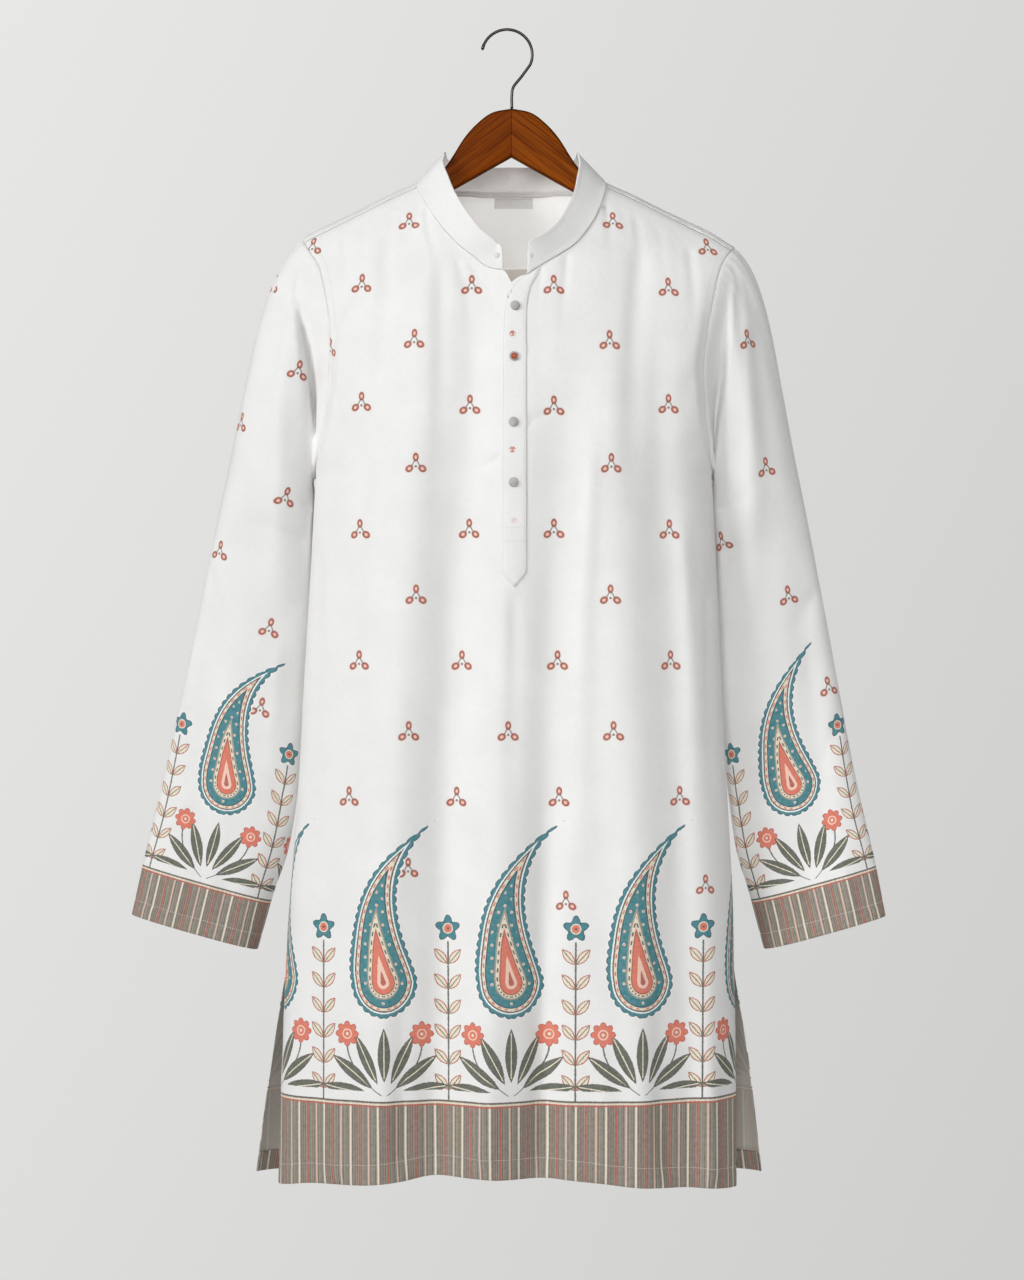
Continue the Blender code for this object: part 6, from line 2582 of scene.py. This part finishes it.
@dataclass
class Studio:
    """The camera, the soft light and the pale surroundings."""

    camera_distance: float = 3.2
    camera_height: float = -0.6231
    lens: float = 88.03
    floor_height: float = -1.60
    floor_radius: float = 1.4
    half_pixel: float = 0.5 / 1280
    room: float = 0.17
    room_up: float = 0.06
    wall_across: tuple[float, float] = (-0.36, 0.718)
    wall_up: tuple[float, float] = (0.25, 0.99)
    wall_edge: tuple[float, float] = (0.88, 0.12)

    def camera(self) -> None:
        """Looks level at the garment's front."""
        data = bpy.data.cameras.new("camera")
        data.sensor_width = 36.0
        data.lens = self.lens
        data.shift_x = self.half_pixel
        camera = new_object("camera", data)
        camera.location = (0.0, -self.camera_distance, self.camera_height)
        camera.rotation_euler = (math.pi / 2, 0.0, 0.0)
        bpy.context.scene.camera = camera

    @staticmethod
    def lamp(
        name: str,
        place: tuple[float, float, float],
        target: tuple[float, float, float],
        size: float,
        watts: float,
        spread: float = 180.0,
    ) -> None:
        """A soft square lamp that faces a place.

        Args:
            name: The lamp's name.
            place: Where it stands.
            target: The place that it faces.
            size: The length of its sides.
            watts: Its power.
            spread: The angle, in degrees, into which it shines.
        """
        data = bpy.data.lights.new(name, "AREA")
        data.size = size
        data.energy = watts
        data.spread = math.radians(spread)
        lamp = new_object(name, data)
        lamp.location = place
        lamp.rotation_euler = (Vector(target) - Vector(place)).to_track_quat("-Z", "Y").to_euler()

    def lights(self) -> None:
        """A key from the left, a front lamp turned to the right, and weak ones round and inside.

        The one inside stands for the light that comes through thin cloth and up from the hem.
        """
        middle = (0.0, 0.0, -0.60)
        self.lamp("key", (-2.54, -2.09, 0.5), middle, 1.2, 68.0)
        self.lamp("front", (0.3, -3.7, 0.45), (1.3, 0.0, -0.60), 2.2, 14.0, 60.0)
        self.lamp("right", (2.6, -1.9, 0.1), middle, 1.6, 13.5)
        self.lamp("back", (0.9, 2.2, 0.2), middle, 1.6, 16.0)
        self.lamp("inside", (0.0, -0.03, -0.62), (0.0, 0.05, -0.20), 0.06, 0.27, 90.0)

    def surroundings(self) -> None:
        """A dim room with a bright pale wall far behind the garment, lighter at the upper left."""
        world = bpy.data.worlds.new("surroundings")
        bpy.context.scene.world = world
        world.use_nodes = True
        tree = world.node_tree
        shade = tree.nodes["Background"]
        node = tree.nodes.new("ShaderNodeTexCoord")
        split = tree.nodes.new("ShaderNodeSeparateXYZ")
        tree.links.new(node.outputs["Generated"], split.inputs["Vector"])
        x, y, z = (Signal(tree, out) for out in split.outputs)
        (slope, middle), (rise, level) = self.wall_across, self.wall_up
        wall = (x * slope + middle) * (z * rise + level)
        ahead = y.above(*self.wall_edge)
        room = z * self.room_up + self.room
        strength = wall * ahead + room * (1.0 - ahead)
        tree.links.new(strength.socket, shade.inputs["Strength"])
        shade.inputs["Color"].default_value = (1.0, 0.995, 0.985, 1.0)

    def floor(self) -> None:
        """A pale round floor, below the front view."""
        bm = bmesh.new()
        bmesh.ops.create_circle(bm, cap_ends=True, segments=96, radius=self.floor_radius)
        pale = bpy.data.materials.new("floor")
        pale.use_nodes = True
        shader = pale.node_tree.nodes["Principled BSDF"]
        shader.inputs["Base Color"].default_value = (0.74, 0.735, 0.72, 1.0)
        shader.inputs["Roughness"].default_value = 0.9
        floor = solid(bm, "floor", pale)
        floor.location = (0.0, 0.0, self.floor_height)
        floor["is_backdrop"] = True

    def build(self) -> None:
        """Sets up the whole studio."""
        bpy.context.scene.view_settings.view_transform = "Standard"
        self.camera()
        self.lights()
        self.surroundings()
        self.floor()


def panel_stitches(body: Body) -> Iterator[Array]:
    """The lines of stitching on the front and the back.

    Args:
        body: The garment's body.

    Returns:
        The lines, one array of points each.
    """
    for grid, count, armhole in (
        (body.front, len(body.front_points), body.front_armhole_count),
        (body.back, len(body.back_points), body.back_armhole_count),
    ):
        points = grid.points[:count]
        yield line_inside(points, Edge.BOTTOM, body.hem_depth)
        in_slit = points[:, 0, 2] < -SLIT_TOP
        for edge in (Edge.LEFT, Edge.RIGHT):
            yield line_inside(points[in_slit], edge, body.slit_hem)
            yield line_inside(points[: armhole - 6], edge, body.armhole_stitch)
    shoulder = line_inside(body.front.points, Edge.TOP, body.shoulder_stitch)
    beside_neck = body.columns_between * len(body.shoulder_columns) + 1
    yield from (shoulder[:beside_neck], shoulder[-beside_neck:])


def sleeve_stitches(sleeve: Sleeve) -> Iterator[Array]:
    """The line of stitching round a sleeve's cuff.

    Args:
        sleeve: The sleeve.

    Returns:
        The closed line.
    """
    rows = sleeve.head_rows * sleeve.head_parts + sleeve.tube_rows * sleeve.tube_parts + 1
    line = line_inside(sleeve.grid.points[:rows], Edge.BOTTOM, sleeve.hem)
    yield np.concatenate([line, line[:1]])


def trim_stitches(collar: Collar, placket: Placket) -> Iterator[Array]:
    """The lines of stitching on the collar and the placket.

    Args:
        collar: The collar.
        placket: The placket.

    Returns:
        The lines, one array of points each.
    """
    band, strip, inset = collar.grid.points, placket.grid.points, placket.stitch_inset
    for points, edge, inside, ends in (
        (band, Edge.TOP, collar.stitch_inset, 2),
        (band, Edge.BOTTOM, collar.stitch_inset, 2),
        (band, Edge.LEFT, collar.stitch_inset, 3),
        (band, Edge.RIGHT, collar.stitch_inset, 3),
        (strip, Edge.LEFT, inset, 2),
        (strip, Edge.RIGHT, inset, 2),
        (strip, Edge.BOTTOM, inset * placket.point_share, 2),
    ):
        yield line_inside(points, edge, inside)[ends:-ends]
    columns = strip[::-1, 2:-2].transpose(1, 0, 2)
    for down in placket.cross_rows:
        yield np.array([[np.interp(-down, c[:, 2], c[:, k]) for k in range(3)] for c in columns])


INSIDE_PRINT = 0.24  # how strongly the print shows on the inside
SLEEVE_PRINT = 1 / 0.88  # the print on the sleeves is smaller by this
PLACKET_MARKS = (
    (0.0012, -0.3181, 0.0, 0.9),
    (0.0008, -0.4340, 2.0, 0.9),
    (0.0028, -0.5044, 4.0, 0.2),
)


def main() -> None:
    """Builds the garment, its hanger and the studio."""
    logging.basicConfig(level=logging.INFO, format="%(name)s: %(message)s")
    body = Body()
    # The inner side's cloth colours are darkened to a taupe grey: painted shade for the shadowed
    # inside of the garment. Only the print that shows through faintly is the cloth's own.
    painted_shade_inside = Dyes(cloth=rgb(204, 199, 191), shade=rgb(190, 184, 175))
    cloths = [
        (
            PrintedCotton(f"printed_cotton{suffix}", scale=scale).material,
            PrintedCotton(f"cotton_inside{suffix}", scale, INSIDE_PRINT, painted_shade_inside).material,
        )
        for suffix, scale in (("", 1.0), ("_sleeve", SLEEVE_PRINT))
    ]
    body.build(*cloths[0])
    sleeves = [Sleeve(side, body, **sizes) for side, sizes in SLEEVES.items()]
    for sleeve in sleeves:
        sleeve.build(*cloths[1])
    plain = Cotton("plain_cotton").material
    collar = Collar(body)
    collar.build(plain)
    placket = Placket(body)
    placket.build(placket_cotton(*PLACKET_MARKS))
    InsideBack(body).build(plain, tape())
    buttons = Buttons(body)
    across, down = (row[buttons.coral_button - 1] for row in (buttons.across, buttons.downs))
    drop = float(body.form.shoulder_down(across)) - down
    shells = (
        button_shell("button_shell"),
        button_shell("button_shell_coral", body.form.point_out(across, drop, 0.0)),
        button_shell("button_shell_pale", pale=rgb(230, 230, 228), dark=rgb(206, 206, 204)),
    )
    buttons.build(collar.grid, *shells)
    stitching, cotton = Stitching(), thread()
    on_cuffs = [line for sleeve in sleeves for line in sleeve_stitches(sleeve)]
    stitching.lay("stitches_panels", "printed_cotton", panel_stitches(body), cotton)
    stitching.lay("stitches_cuffs", "printed_cotton", on_cuffs, cotton)
    stitching.lay("stitches_trims", "plain_cotton", trim_stitches(collar, placket), cotton)
    hanger = Hanger(body.form)
    hanger.hook(hook_steel())
    for side, light in ((Side.LEFT, rgb(128, 61, 5)), (Side.RIGHT, rgb(142, 71, 8))):
        hanger.half(side, varnished_wood(side, light))
    Studio().build()
    sizes = {"cad": CAD_BOX, "scene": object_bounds()}
    {name: [list(corner) for corner in box] for name, box in sizes.items()}


if __name__ == "__main__":
    main()
